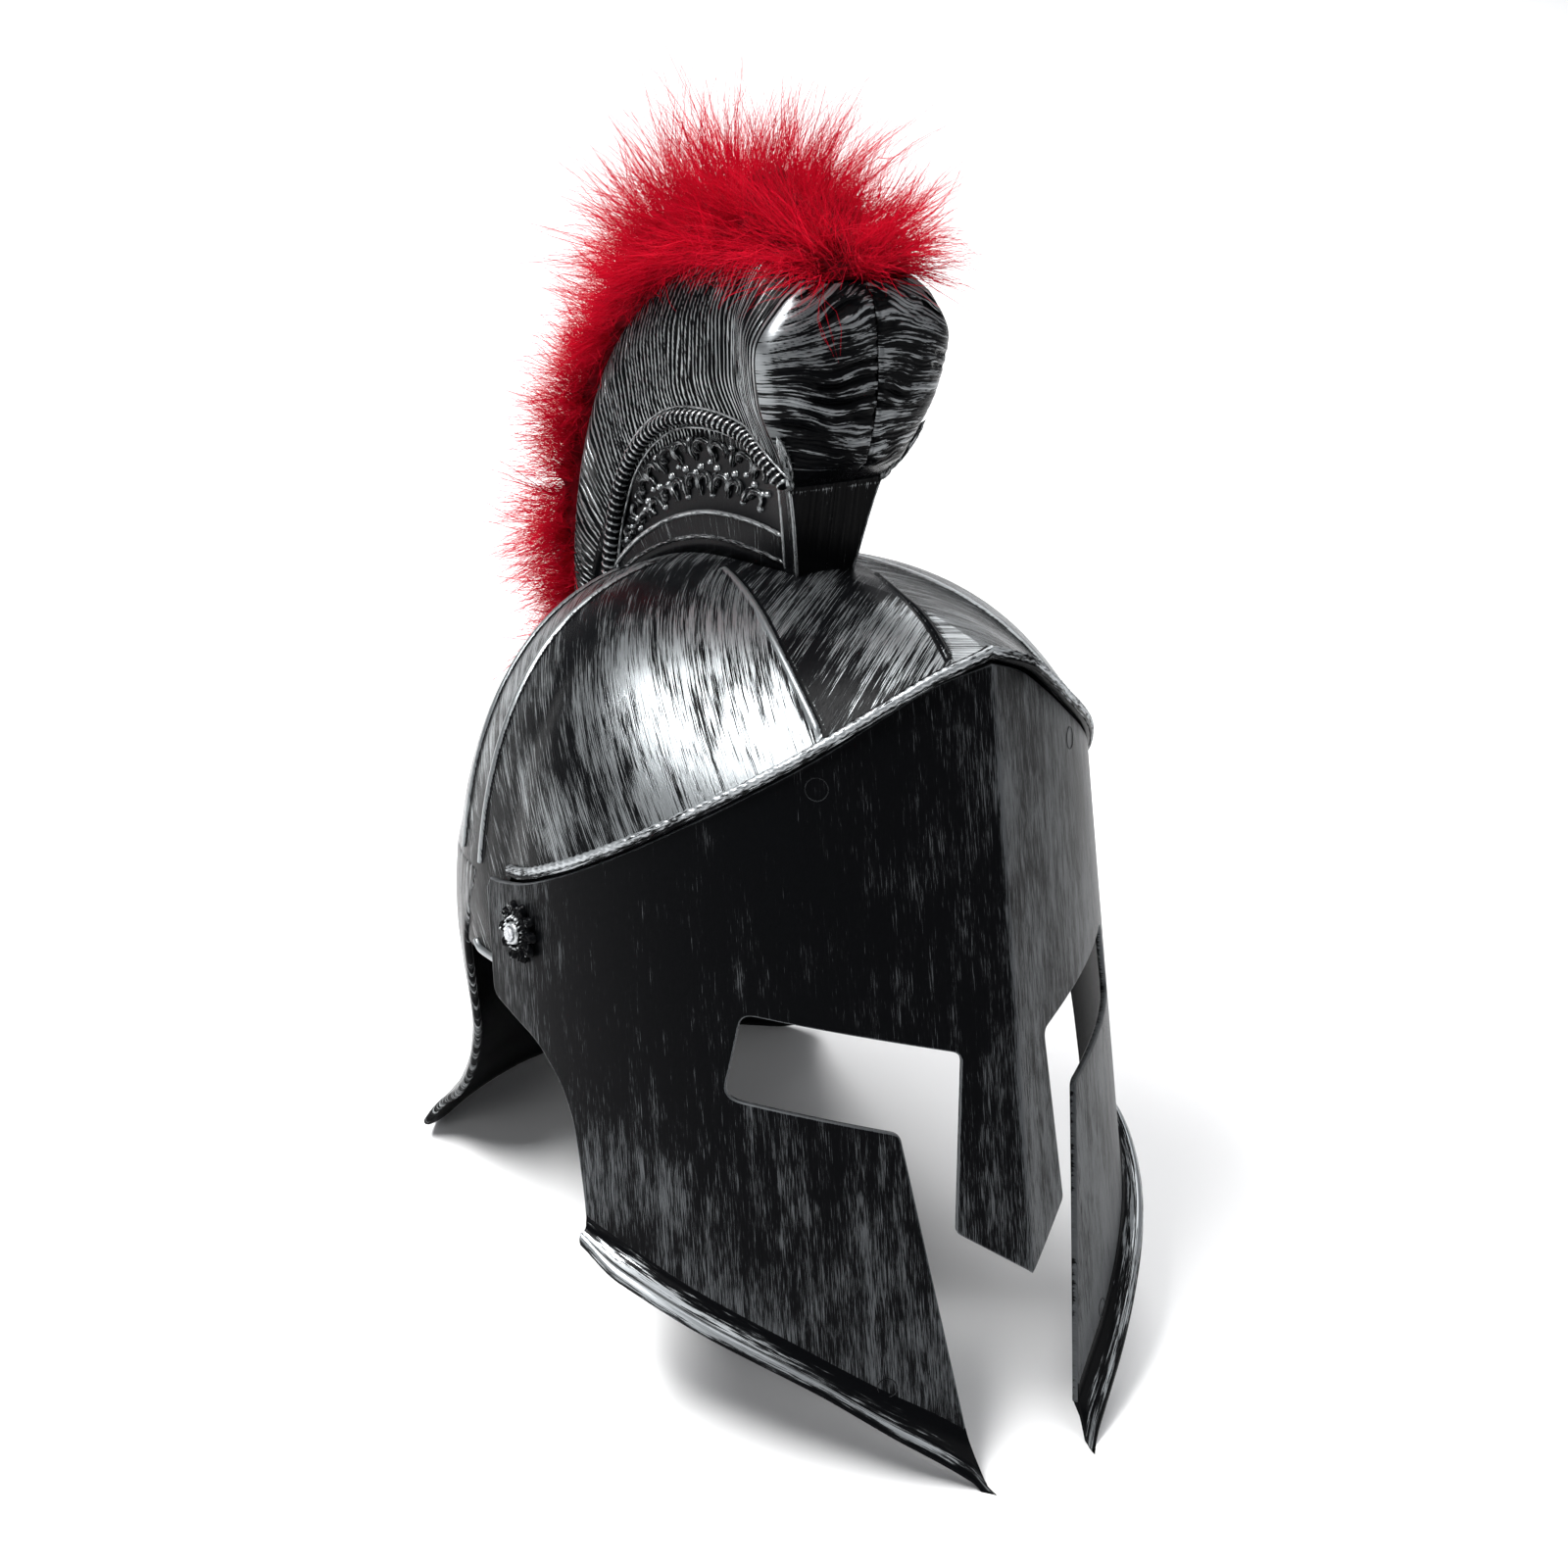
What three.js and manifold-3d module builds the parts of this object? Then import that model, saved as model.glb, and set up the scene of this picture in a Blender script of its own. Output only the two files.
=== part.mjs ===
// Costume helmet of hard plastic: round skull with a beaked brow and a flared neck guard, a V-ridged face
// guard pinned on at the ears, a two-shell crest with a brush, a feather strip on it, and two rosettes.
// Drawn upright with the nose tip at 0,0,0 (x to the wearer's left, y to the back, z up), then enlarged by
// HEAD_SIZE, pitched back by REST_PITCH so that it stands on the cheek tips and the neck guard, and centred.
import * as THREE from "three";
import { mergeVertices } from "three/addons/utils/BufferGeometryUtils.js";
import Module from "manifold-3d";

// driving dimensions, mm and degrees
const HEAD_SIZE = 1.05; // enlargement of the drawn shape to an adult's head
const REST_PITCH = 13.5;
const WALL = 2.0; // moulded wall of skull and face guard
const GAP = 0.35; // play between pieces that touch

// skull
const SKULL_Y = 122, // axis of the dome behind the nose tip
  SKULL_Z = 61, // height of its equator
  SKULL_H = 121, // equator to crown
  SKULL_POW = 2.65; // roundness of its meridians
// radius of the dome at its equator, by angle from straight ahead
const SKULL_R = [
  [0, 172], [9, 150], [18, 128], [28, 114.3], [40, 106.8], [50, 103], [62, 100.4],
  [74, 98], [84, 95.2], [92, 92.8], [110, 93.5], [145, 96], [180, 97],
];
// height of the brow's edge, by angle from straight ahead
const BROW_Z = [[0, 171], [9, 166], [18, 158], [28, 148.5], [40, 138], [50, 129.3], [62, 119], [74, 110], [84, 104.3], [90, 102.6]];
const BROW_END = 89;
const SPLIT_Z = 60; // height where the skull and the neck guard part
const EAR_Z = 74, // lower edge of the skull behind the ear of the face guard
  NAPE_Z = 84; // height where the neck guard's band starts
const GUARD = [
  // height, half-opening angle from straight ahead of its side edge, radial step from the dome's radius
  [97, 103, 0.7], [86, 106, 0.7], [74, 110, 0.3], [58, 113, -1.2], [42, 116, -1.8],
  [28, 120.5, 0.2], [14, 126.5, 6], [3, 132, 13.5], [-9, 134.5, 21.5],
];
// face guard
const RIDGE_LEAN = 0.1337, // the ridge leans back by this much per mm of height
  MASK_W = 94.5, // half width at the ears
  MASK_SIDE = 79, // depth of the rounded flank
  MASK_V = 0.42, // slope of the two faces at the ridge
  MASK_POW = 3,
  MASK_WIDEN = 0.00033; // the flanks spread by this share per mm below the brow
const EAR_Y = 129;
const LIP_W = 5.6, // width of the flared lip
  LIP_DROP = 0.6; // and its fall per mm outward
const PIN = { y: 110.5, z: 88.5, r: 1.7 };
// crest
const REST_Z = -56.6; // height of the standing plane under the nose tip

const wasm = await Module();
wasm.setup();
const { Manifold } = wasm;

// ---------- small helpers ----------
const rad = (d) => (d * Math.PI) / 180;
const lerp = (a, b, t) => a + (b - a) * t;
const smooth = (a, b, x) => {
  const t = Math.min(1, Math.max(0, (x - a) / (b - a)));
  return t * t * (3 - 2 * t);
};
// monotone cubic through [x, y] stations
function curve(st) {
  const n = st.length,
    d = [],
    m = [];
  for (let i = 0; i < n - 1; i++) d.push((st[i + 1][1] - st[i][1]) / (st[i + 1][0] - st[i][0]));
  m[0] = d[0];
  m[n - 1] = d[n - 2];
  for (let i = 1; i < n - 1; i++) m[i] = d[i - 1] * d[i] <= 0 ? 0 : (2 * d[i - 1] * d[i]) / (d[i - 1] + d[i]);
  return (x) => {
    if (x <= st[0][0]) return st[0][1];
    if (x >= st[n - 1][0]) return st[n - 1][1];
    let i = 0;
    while (x > st[i + 1][0]) i++;
    const h = st[i + 1][0] - st[i][0],
      t = (x - st[i][0]) / h,
      u = t * t * t,
      v = t * t;
    return (2 * u - 3 * v + 1) * st[i][1] + (u - 2 * v + t) * h * m[i] + (3 * v - 2 * u) * st[i + 1][1] + (u - v) * h * m[i + 1];
  };
}
function geo(points, tris) {
  let g = new THREE.BufferGeometry();
  g.setAttribute("position", new THREE.BufferAttribute(new Float32Array(points.flat()), 3));
  let vol = 0;
  for (const [a, b, c] of tris) {
    const A = points[a], B = points[b], C = points[c];
    vol += A[0] * (B[1] * C[2] - B[2] * C[1]) - A[1] * (B[0] * C[2] - B[2] * C[0]) + A[2] * (B[0] * C[1] - B[1] * C[0]);
  }
  g.setIndex(tris.flatMap((t) => (vol < 0 ? [t[0], t[2], t[1]] : t)));
  return g;
}
const solid = (g) => {
  const f = g.index ? g.toNonIndexed() : g;
  const p = mergeVertices(new THREE.BufferGeometry().setAttribute("position", f.attributes.position), 1e-3);
  const t = p.index.array, tris = [];
  for (let i = 0; i < t.length; i += 3) if (t[i] !== t[i + 1] && t[i + 1] !== t[i + 2] && t[i] !== t[i + 2]) tris.push(t[i], t[i + 1], t[i + 2]);
  return new Manifold(new wasm.Mesh({ numProp: 3, vertProperties: new Float32Array(p.attributes.position.array), triVerts: new Uint32Array(tris) }));
};
// shell between an outer and an inner grid of points, rows down and columns across
function shell(outer, inner, wrap, pole) {
  const rows = outer.length, cols = outer[outer.length - 1].length, pts = [], tris = [];
  const id = [outer, inner].map((grid) => grid.map((row) => row.map((p) => pts.push(p) - 1)));
  const at = (s, j, i) => (pole && j === 0 ? id[s][0][0] : id[s][j][wrap ? i % cols : i]);
  const quad = (a, b, c, d) => {
    if (a !== b && b !== c && a !== c) tris.push([a, b, c]);
    if (a !== c && c !== d && a !== d) tris.push([a, c, d]);
  };
  const last = wrap ? cols : cols - 1;
  for (let j = 0; j < rows - 1; j++)
    for (let i = 0; i < last; i++) {
      quad(at(0, j, i), at(0, j + 1, i), at(0, j + 1, i + 1), at(0, j, i + 1));
      quad(at(1, j, i), at(1, j, i + 1), at(1, j + 1, i + 1), at(1, j + 1, i));
    }
  for (let i = 0; i < last; i++) {
    const e = rows - 1;
    quad(at(0, e, i), at(1, e, i), at(1, e, i + 1), at(0, e, i + 1));
    if (!pole) quad(at(0, 0, i), at(0, 0, i + 1), at(1, 0, i + 1), at(1, 0, i));
  }
  if (!wrap)
    for (let j = 0; j < rows - 1; j++) {
      quad(at(0, j, 0), at(1, j, 0), at(1, j + 1, 0), at(0, j + 1, 0));
      quad(at(0, j, last), at(0, j + 1, last), at(1, j + 1, last), at(1, j, last));
    }
  return geo(pts, tris);
}
// solid through a row of closed sections with capped ends
function loft(sections) {
  const n = sections.length, m = sections[0].length, pts = sections.flat(), tris = [];
  for (let k = 0; k < n - 1; k++)
    for (let i = 0; i < m; i++) {
      const a = k * m + i, b = k * m + ((i + 1) % m);
      tris.push([a, b, b + m], [a, b + m, a + m]);
    }
  for (const k of [0, n - 1]) {
    const c = [0, 1, 2].map((x) => sections[k].reduce((s, p) => s + p[x], 0) / m), ci = pts.push(c) - 1;
    for (let i = 0; i < m; i++) {
      const a = k * m + i, b = k * m + ((i + 1) % m);
      tris.push(k ? [ci, a, b] : [ci, b, a]);
    }
  }
  return geo(pts, tris);
}
const mirrorX = (g) => {
  const p = Array.from(g.attributes.position.array), pts = [], tris = [];
  for (let i = 0; i < p.length; i += 3) pts.push([-p[i], p[i + 1], p[i + 2]]);
  for (let i = 0; i < g.index.count; i += 3) tris.push([g.index.array[i], g.index.array[i + 1], g.index.array[i + 2]]);
  return geo(pts, tris);
};
const both = (g) => Manifold.union(solid(g), solid(mirrorX(g)));
// prism of an outline given in two axes, along the third
function prism(outline, axis, from, to) {
  const s = new THREE.Shape(outline.map(([a, b]) => new THREE.Vector2(a, b)));
  const g = new THREE.ExtrudeGeometry(s, { depth: to - from, bevelEnabled: false, curveSegments: 6 });
  if (axis === "z") g.translate(0, 0, from);
  if (axis === "y") g.applyMatrix4(new THREE.Matrix4().set(1, 0, 0, 0, 0, 0, -1, -from, 0, 1, 0, 0, 0, 0, 0, 1));
  if (axis === "x") g.applyMatrix4(new THREE.Matrix4().set(0, 0, 1, from, 1, 0, 0, 0, 0, 1, 0, 0, 0, 0, 0, 1));
  return solid(g);
}
// rounds the corners of an outline; r per corner
function rounded(pts, steps = 3) {
  const out = [];
  pts.forEach((p, i) => {
    const r = p[2] || 0;
    if (!r) return out.push([p[0], p[1]]);
    const a = pts[(i + pts.length - 1) % pts.length], b = pts[(i + 1) % pts.length];
    const u = new THREE.Vector2(a[0] - p[0], a[1] - p[1]).normalize(), v = new THREE.Vector2(b[0] - p[0], b[1] - p[1]).normalize();
    const A = [p[0] + u.x * r, p[1] + u.y * r], B = [p[0] + v.x * r, p[1] + v.y * r];
    for (let k = 0; k <= steps; k++) {
      const t = k / steps;
      out.push([0, 1].map((x) => (1 - t) ** 2 * A[x] + 2 * t * (1 - t) * p[x] + t * t * B[x]));
    }
  });
  return out;
}

// ---------- skull ----------
const skullR = curve(SKULL_R), browZ = curve(BROW_Z);
const onSkull = (deg, z, off = 0) => {
  const R = skullR(Math.abs(deg)) + off, H = SKULL_H + off;
  const k = z <= SKULL_Z ? 1 : Math.max(0, 1 - ((z - SKULL_Z) / H) ** SKULL_POW) ** (1 / SKULL_POW);
  return [-Math.sin(rad(deg)) * R * k, SKULL_Y - Math.cos(rad(deg)) * R * k, z];
};
const skullTop = (x, y, off = 0) => {
  const R = skullR(Math.abs((Math.atan2(-x, SKULL_Y - y) * 180) / Math.PI)) + off, r = Math.hypot(x, y - SKULL_Y);
  return SKULL_Z + (SKULL_H + off) * Math.max(0, 1 - (r / R) ** SKULL_POW) ** (1 / SKULL_POW);
};
const skullEdge = (a) => {
  a = Math.abs(a);
  if (a <= BROW_END) return browZ(a);
  return lerp(browZ(BROW_END), lerp(EAR_Z, NAPE_Z, smooth(100, 110, a)), smooth(BROW_END, BROW_END + 3, a));
};
function domeGrid(off, edge, rows, degs) {
  const grid = [[[0, SKULL_Y, SKULL_Z + SKULL_H + off]]];
  for (let j = 1; j <= rows; j++)
    grid.push(
      degs.map((a) => {
        const ze = edge(a), R = skullR(Math.abs(a)) + off, H = SKULL_H + off;
        // even steps along the meridian's angle
        const c = Math.min(1, Math.max(0, (ze - SKULL_Z) / H)) ** (SKULL_POW / 2), end = Math.acos(c);
        const th = end * (j / rows) ** 1.05, r = R * Math.sin(th) ** (2 / SKULL_POW);
        const z = j === rows ? ze : SKULL_Z + H * Math.cos(th) ** (2 / SKULL_POW);
        return [-Math.sin(rad(a)) * r, SKULL_Y - Math.cos(rad(a)) * r, z];
      }),
    );
  return grid;
}
const degs = [];
for (const a of [0, 4, 8, 13, 18, 24, 30, 37, 44, 52, 60, 68, 76, 83, 89, 92, 99, 108, 117, 126, 135, 144, 153, 162, 171, 180]) degs.push(a);
for (const a of [...degs].reverse()) if (a > 0 && a < 180) degs.push(-a);
const dome = solid(shell(domeGrid(0, skullEdge, 10, degs), domeGrid(-WALL, skullEdge, 10, degs), true, true));

// neck guard: overlaps the dome's lower band, draws in, then flares
const GUARD_CORNER = 6;
const gAngle = curve([...GUARD].reverse().map((g) => [g[0], g[1]])), gStep = curve([...GUARD].reverse().map((g) => [g[0], g[2]]));
function guardGrid(off) {
  return GUARD.map(([z]) => {
    const row = [];
    for (let i = 0; i <= 18; i++) {
      const t = i / 9 - 1, a = 180 + t * (180 - gAngle(z)), d = a > 180 ? a - 360 : a;
      const [x, y] = onSkull(d, z, 0), r = Math.hypot(x, y - SKULL_Y);
      const k = (r + gStep(z) - 0.0008 * r * Math.max(0, 60 - z) + off) / r;
      row.push([x * k, SKULL_Y + (y - SKULL_Y) * k, z + GUARD_CORNER * t ** 6 * smooth(20, -9, z)]);
    }
    return row;
  });
}
const guard = solid(shell(guardGrid(0), guardGrid(-2.5), false, false));
// ear tabs: the skull's wall carried forward inside the face guard
function tabGrid(off) {
  const rows = [];
  for (let j = 0; j <= 4; j++) {
    const row = [];
    for (let i = 0; i <= 6; i++) {
      const a = lerp(77, 108, i / 6), z = lerp(98, EAR_Z + 4 * smooth(90, 77, a), j / 4);
      const R = lerp(91, skullR(a) - 0.3, smooth(90, 96, a)) + off;
      const k = Math.max(0, 1 - ((z - SKULL_Z) / (SKULL_H + off)) ** SKULL_POW) ** (1 / SKULL_POW);
      row.push([-Math.sin(rad(a)) * R * k, SKULL_Y - Math.cos(rad(a)) * R * k, z]);
    }
    rows.push(row);
  }
  return rows;
}
const tabs = both(shell(tabGrid(0), tabGrid(-2.4), false, false));
// cord along the brow; near the ears it widens inwards to stay on the dome
function browCord(sgn) {
  const sec = [];
  for (let k = 0; k <= 20; k++) {
    const a = lerp(-1.2, BROW_END + 1, k / 20), z = browZ(Math.max(0, a)), p = onSkull(Math.abs(a) < 0.01 ? 0.01 : a, z, 0);
    const inw = lerp(2.0, 3.0, smooth(66, 86, a)), out = lerp(1.9, 2.6, smooth(66, 86, a)), h = 1.9;
    const n = [-Math.sin(rad(a)), -Math.cos(rad(a))];
    const ring = [];
    for (let q = 0; q < 8; q++) {
      const t = (q / 8) * 2 * Math.PI, c = Math.cos(t), w = c > 0 ? out : inw;
      ring.push([sgn * (p[0] + n[0] * c * w), p[1] + n[1] * c * w, z + Math.sin(t) * h + 0.3]);
    }
    sec.push(ring);
  }
  return solid(loft(sec));
}
// a raised line on the dome through points given in plan
function rib(plan, h = 0.9, w = 1.3) {
  const sec = [], c = new THREE.CatmullRomCurve3(plan.map(([x, y]) => new THREE.Vector3(x, y, 0)));
  for (let k = 0; k <= 16; k++) {
    const p = c.getPoint(k / 16), t = c.getTangent(k / 16), s = new THREE.Vector3(-t.y, t.x, 0);
    const up = (q, o) => [q.x, q.y, skullTop(q.x, q.y, o)];
    const L = p.clone().addScaledVector(s, w), R = p.clone().addScaledVector(s, -w);
    sec.push([up(L, -0.8), up(L, 0.05), up(p, h), up(R, 0.05), up(R, -0.8)]);
  }
  return solid(loft(sec));
}
const RIB_FRONT = [[-20, 118], [-30, 90], [-37, 70], [-41, 55], [-43.4, 41.5]],
  RIB_MID = [[14, 90], [9, 79], [2.5, 63], [-3.5, 45], [-9.6, 28.5]];
const flip = (p) => p.map(([x, y]) => [-x, y]);
// transverse ribs run over the dome in a plane across it
function crossRib(y0, y1, zEnd, sgn) {
  const sec = [];
  const zTop = skullTop(20, y0) - 1;
  for (let k = 0; k <= 14; k++) {
    const t = k / 14, z = lerp(zTop, zEnd, t ** 1.4), y = lerp(y0, y1, t);
    const rim = (off, dy) => {
      let lo = 0, hi = 130;
      for (let i = 0; i < 40; i++) {
        const m = (lo + hi) / 2;
        skullTop(-m, y + dy, off) > z ? (lo = m) : (hi = m);
      }
      return [sgn * -lo, y + dy, z];
    };
    sec.push([rim(-0.8, -1.3), rim(0.05, -1.3), rim(0.9, 0), rim(0.05, 1.3), rim(-0.8, 1.3)]);
  }
  return solid(loft(sec));
}
const pinHole = (r) => {
  const g = new THREE.CylinderGeometry(r, r, 260, 20);
  g.rotateZ(Math.PI / 2);
  g.translate(0, PIN.y, PIN.z);
  return solid(g);
};
let skull = Manifold.union([
  dome, guard, tabs, browCord(1), browCord(-1),
  rib(RIB_FRONT), rib(flip(RIB_FRONT)), rib(RIB_MID),
  crossRib(146, 141, 100, 1), crossRib(146, 141, 100, -1), crossRib(166, 158, 100, 1), crossRib(166, 158, 100, -1),
]).subtract(pinHole(PIN.r + GAP));

// ---------- face guard ----------
const flank = (x) => {
  x = Math.min(Math.abs(x), MASK_W);
  return MASK_V * x + MASK_SIDE * (1 - (1 - (x / MASK_W) ** MASK_POW) ** (1 / MASK_POW));
};
const FLANK_END = flank(MASK_W);
const spread = (z) => 1 + MASK_WIDEN * (110 - z);
// half cross-section from the ridge to the ear: x, y past the ridge
const across = [0, 7, 15, 23, 31, 39, 47, 55, 62, 69, 75, 80, 84, 87.5, 90.5, 92.8, 94.1].map((x) => [x, flank(x)]);
across.push([MASK_W, FLANK_END - 2], [MASK_W, FLANK_END + 4], [MASK_W - 0.1, FLANK_END + 12], [MASK_W - 0.3, FLANK_END + 24]);
const normals = across.map((p, i) => {
  const a = across[Math.max(0, i - 1)], b = across[Math.min(across.length - 1, i + 1)];
  const dx = b[0] - a[0], dy = b[1] - a[1], l = Math.hypot(dx, dy);
  return i === 0 ? [0, -1 / Math.cos(Math.atan(MASK_V))] : [dy / l, -dx / l];
});
const maskTop = (x, y) => {
  const a = (Math.atan2(Math.abs(x), SKULL_Y - y) * 180) / Math.PI;
  // below the cord and below the dome's inner face
  return Math.min(browZ(a), 200) - lerp(2.9, 2.4, smooth(20, 60, a));
};
function maskGrid(off) {
  const cols = [];
  for (let i = across.length - 1; i > 0; i--) cols.push([-1, i]);
  for (let i = 0; i < across.length; i++) cols.push([1, i]);
  const rows = [];
  const tops = cols.map(([s, i]) => {
    let z = 120;
    for (let k = 0; k < 30; k++) z = maskTop(across[i][0] * spread(z), across[i][1] + RIDGE_LEAN * z);
    return z;
  });
  for (let j = 0; j <= 6; j++)
    rows.push(
      cols.map(([s, i], c) => {
        const z = lerp(tops[c], -66, j / 6);
        return [s * (across[i][0] * spread(z) + normals[i][0] * off), across[i][1] + RIDGE_LEAN * z + normals[i][1] * off, z];
      }),
    );
  return rows;
}
// openings for the eyes and mouth, front view
const EYES = [
  [-65.2, 76.5, 3], [-15.0, 63.6, 2.5], [-19.7, 13.8, 1.5], [0, 0], [19.7, 13.8, 1.5], [15.0, 63.6, 2.5], [65.2, 76.5, 3],
  [70.4, 53.4, 4], [32, 42.6, 2], [20.3, -47], [18.2, -62], [18.2, -90], [-18.2, -90], [-18.2, -62], [-20.3, -47], [-32, 42.6, 2], [-70.4, 53.4, 4],
];
// side view: line of the lower lip and of the rear edge
const LIP = [[0.2, -51.5], [2.6, -46], [14.5, -32], [31, -16.6], [47, -6], [64.5, 3.4], [80.6, 9.6]];
const REAR = [[82, 17], [84.5, 29], [87, 39], [92, 49], [102.5, 58.5], [124.5, 66.5], [EAR_Y - 0.5, 97], [EAR_Y, 118]];
const outside = [[-40, -100], [-40, -54], ...LIP, ...REAR, [170, 118], [170, -110], [-40, -110]];
let mask = solid(shell(maskGrid(0), maskGrid(-WALL), false, false))
  .subtract(prism(rounded(EYES), "y", -60, 100))
  .subtract(prism(outside, "x", -130, 130));
// lip along the lower edge of each cheek
const lipZ = curve(LIP.map(([y, z]) => [y, z]));
function lip() {
  const sec = [];
  for (let k = 0; k <= 16; k++) {
    const y = lerp(0.2, 80.9, k / 16), z = lipZ(y);
    const want = y - RIDGE_LEAN * z;
    let lo = 0, hi = MASK_W;
    for (let i = 0; i < 40; i++) flank((lo + hi) / 2) < want ? (lo = (lo + hi) / 2) : (hi = (lo + hi) / 2);
    const x = (lo + hi) / 2, e = 0.5, d = new THREE.Vector2(e, flank(x) - flank(x - e)).normalize(), n = [d.y, -d.x];
    const w = LIP_W * 1 * lerp(0.62, 1, smooth(81, 66, y));
    const drop = lerp(1.3, LIP_DROP, smooth(0, 26, y));
    const P = (o, h) => [-(x * spread(z) + n[0] * o), y + n[1] * o, z + h - drop * Math.max(0, o)];
    sec.push([P(-1.7, -1.6), P(w, -1.3), P(w + 0.4, -0.2), P(w, 0.7), P(1.6, 0.9), P(0.2, 2.2), P(-1.7, 2.2)]);
  }
  return loft(sec);
}
mask = Manifold.union(mask, both(lip())).subtract(pinHole(PIN.r + GAP));
mask = mask.subtract(prism([[-20.3, -47], [20.3, -47], [18.2, -62], [18.2, -90], [-18.2, -90], [-18.2, -62]], "y", -60, 40));

// ---------- crest ----------
// lower line (over the dome) and upper line (rim of the brush), side view, front to back
const UNDER = new THREE.CatmullRomCurve3([[95.6, 180.4], [104, 184.4], [120, 187.6], [138, 187.6], [158, 182.5], [177, 172.5], [190, 162.5], [198, 150]].map(([y, z]) => new THREE.Vector3(0, y, z)), false, "centripetal");
const RIM = new THREE.CatmullRomCurve3([[80.5, 264], [100, 268.4], [122, 268.6], [148, 263], [172, 251], [192, 233], [205, 208], [209.5, 180], [208, 146]].map(([y, z]) => new THREE.Vector3(0, y, z)), false, "centripetal");
// half width against height in the section: holder foot, top of holder, brush
const halfWidth = (s, v) => {
  const f = 1 - smooth(0, 0.18, s), g = 1 - smooth(0.1, 0.75, s);
  const foot = lerp(11.5, 9.7, f), holder = lerp(12.5, 15.8, f), brush = lerp(15, 20, g), top = lerp(12, 16, g);
  return curve([[0, foot], [0.31, holder], [0.41, lerp(holder + 1.2, 20, f)], [0.62, lerp(brush, 30, f)], [0.79, lerp(brush, 33, f)], [0.94, lerp(top, 25.5, f)], [1, lerp(top - 3, 19, f)]])(v);
};
const bulgeOf = curve([[0, 0], [0.32, 0], [0.36, 6], [0.42, 13], [0.6, 14.5], [0.79, 12], [0.94, 7.5], [1, 3]]);
const LEVELS = [0, 0.16, 0.32, 0.36, 0.42, 0.52, 0.64, 0.79, 0.94, 1];
// half sections; the first ones close the front face with its bulge
function crestHalf(inset, open) {
  const sec = [];
  const ring = (pts) => sec.push(pts);
  const section = (s, push, shrink) => {
    const a = UNDER.getPointAt(s), b = RIM.getPointAt(s), d = b.clone().sub(a), len = d.length(), lv = [];
    for (const v of LEVELS) {
      const vv = lerp(inset / len, 1 - inset / len, v), w = Math.max(0.5, halfWidth(s, vv) * shrink - inset);
      const bulge = push * bulgeOf(vv);
      lv.push([-w, a.y + d.y * vv - bulge, a.z + d.z * vv]);
    }
    const mid = LEVELS.map((v, i) => [open, lv[i][1], lv[i][2]]).reverse();
    return [...lv, ...mid];
  };
  if (!inset) {
    ring(section(0, 1, 0.02));
    ring(section(0, 0.94, 0.45));
    ring(section(0, 0.66, 0.8));
    ring(section(0, 0, 1));
  } else {
    ring(section(0.02, 0.55, 0.5));
    ring(section(0.022, 0, 1));
  }
  const n = 16;
  for (let k = 1; k <= n; k++) ring(section((inset ? 0.022 + (k / n) * 0.958 : k / n), 0, 1));
  return loft(sec);
}
const plug = (off) => solid(shell(domeGrid(off, () => 96, 14, degs), domeGrid(-12, () => 96, 14, degs), true, true));
const plugCut = plug(GAP);
let half = solid(crestHalf(0, -0.15)).subtract(solid(crestHalf(2.2, 6))).subtract(plugCut);
const halfM = half.mirror([1, 0, 0]);

// ---------- feather strip on the rim ----------
const STRIP = new THREE.CatmullRomCurve3([...RIM.points, new THREE.Vector3(0, 210.5, 136), new THREE.Vector3(0, 214, 126)], false, "centripetal");
function plumeLoft() {
  const sec = [], n = 22;
  for (let k = 0; k <= n; k++) {
    const u = k / n, s = u * 0.985;
    const p = STRIP.getPointAt(s), t = STRIP.getTangentAt(s);
    const out = new THREE.Vector3(0, -t.z, t.y).dot(new THREE.Vector3(0, p.y - 138, p.z - 170)) < 0 ? -1 : 1;
    const N = new THREE.Vector3(0, -t.z * out, t.y * out);
    const end = Math.min(1, 0.45 + 0.55 * Math.sqrt(Math.min(1, u / 0.12))) * Math.min(1, 0.4 + 0.6 * Math.sqrt(Math.min(1, (1 - u) / 0.12)));
    const h = curve([[0, 27], [0.1, 30], [0.2, 36], [0.3, 37], [0.45, 28], [0.6, 25], [0.8, 29], [1, 31]])(u) * end;
    const w = curve([[0, 28], [0.15, 28], [0.5, 22], [1, 20]])(u) * lerp(0.7, 1, end);
    const ring = [];
    for (let q = 0; q <= 8; q++) {
      const a = (q / 8) * Math.PI, c = Math.cos(a), d = Math.sin(a);
      ring.push([c * w, 0, 3 + Math.max(0, h - 3) * d ** 0.9].map((v, i) => v));
    }
    ring.push([-w * 0.62, 0, GAP + 0.25], [w * 0.62, 0, GAP + 0.25]);
    sec.push(ring.map(([x, , h2]) => [x, p.y + N.y * h2, p.z + N.z * h2]));
  }
  return loft(sec);
}
let plume = solid(plumeLoft()).subtract(plug(1.0));

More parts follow.
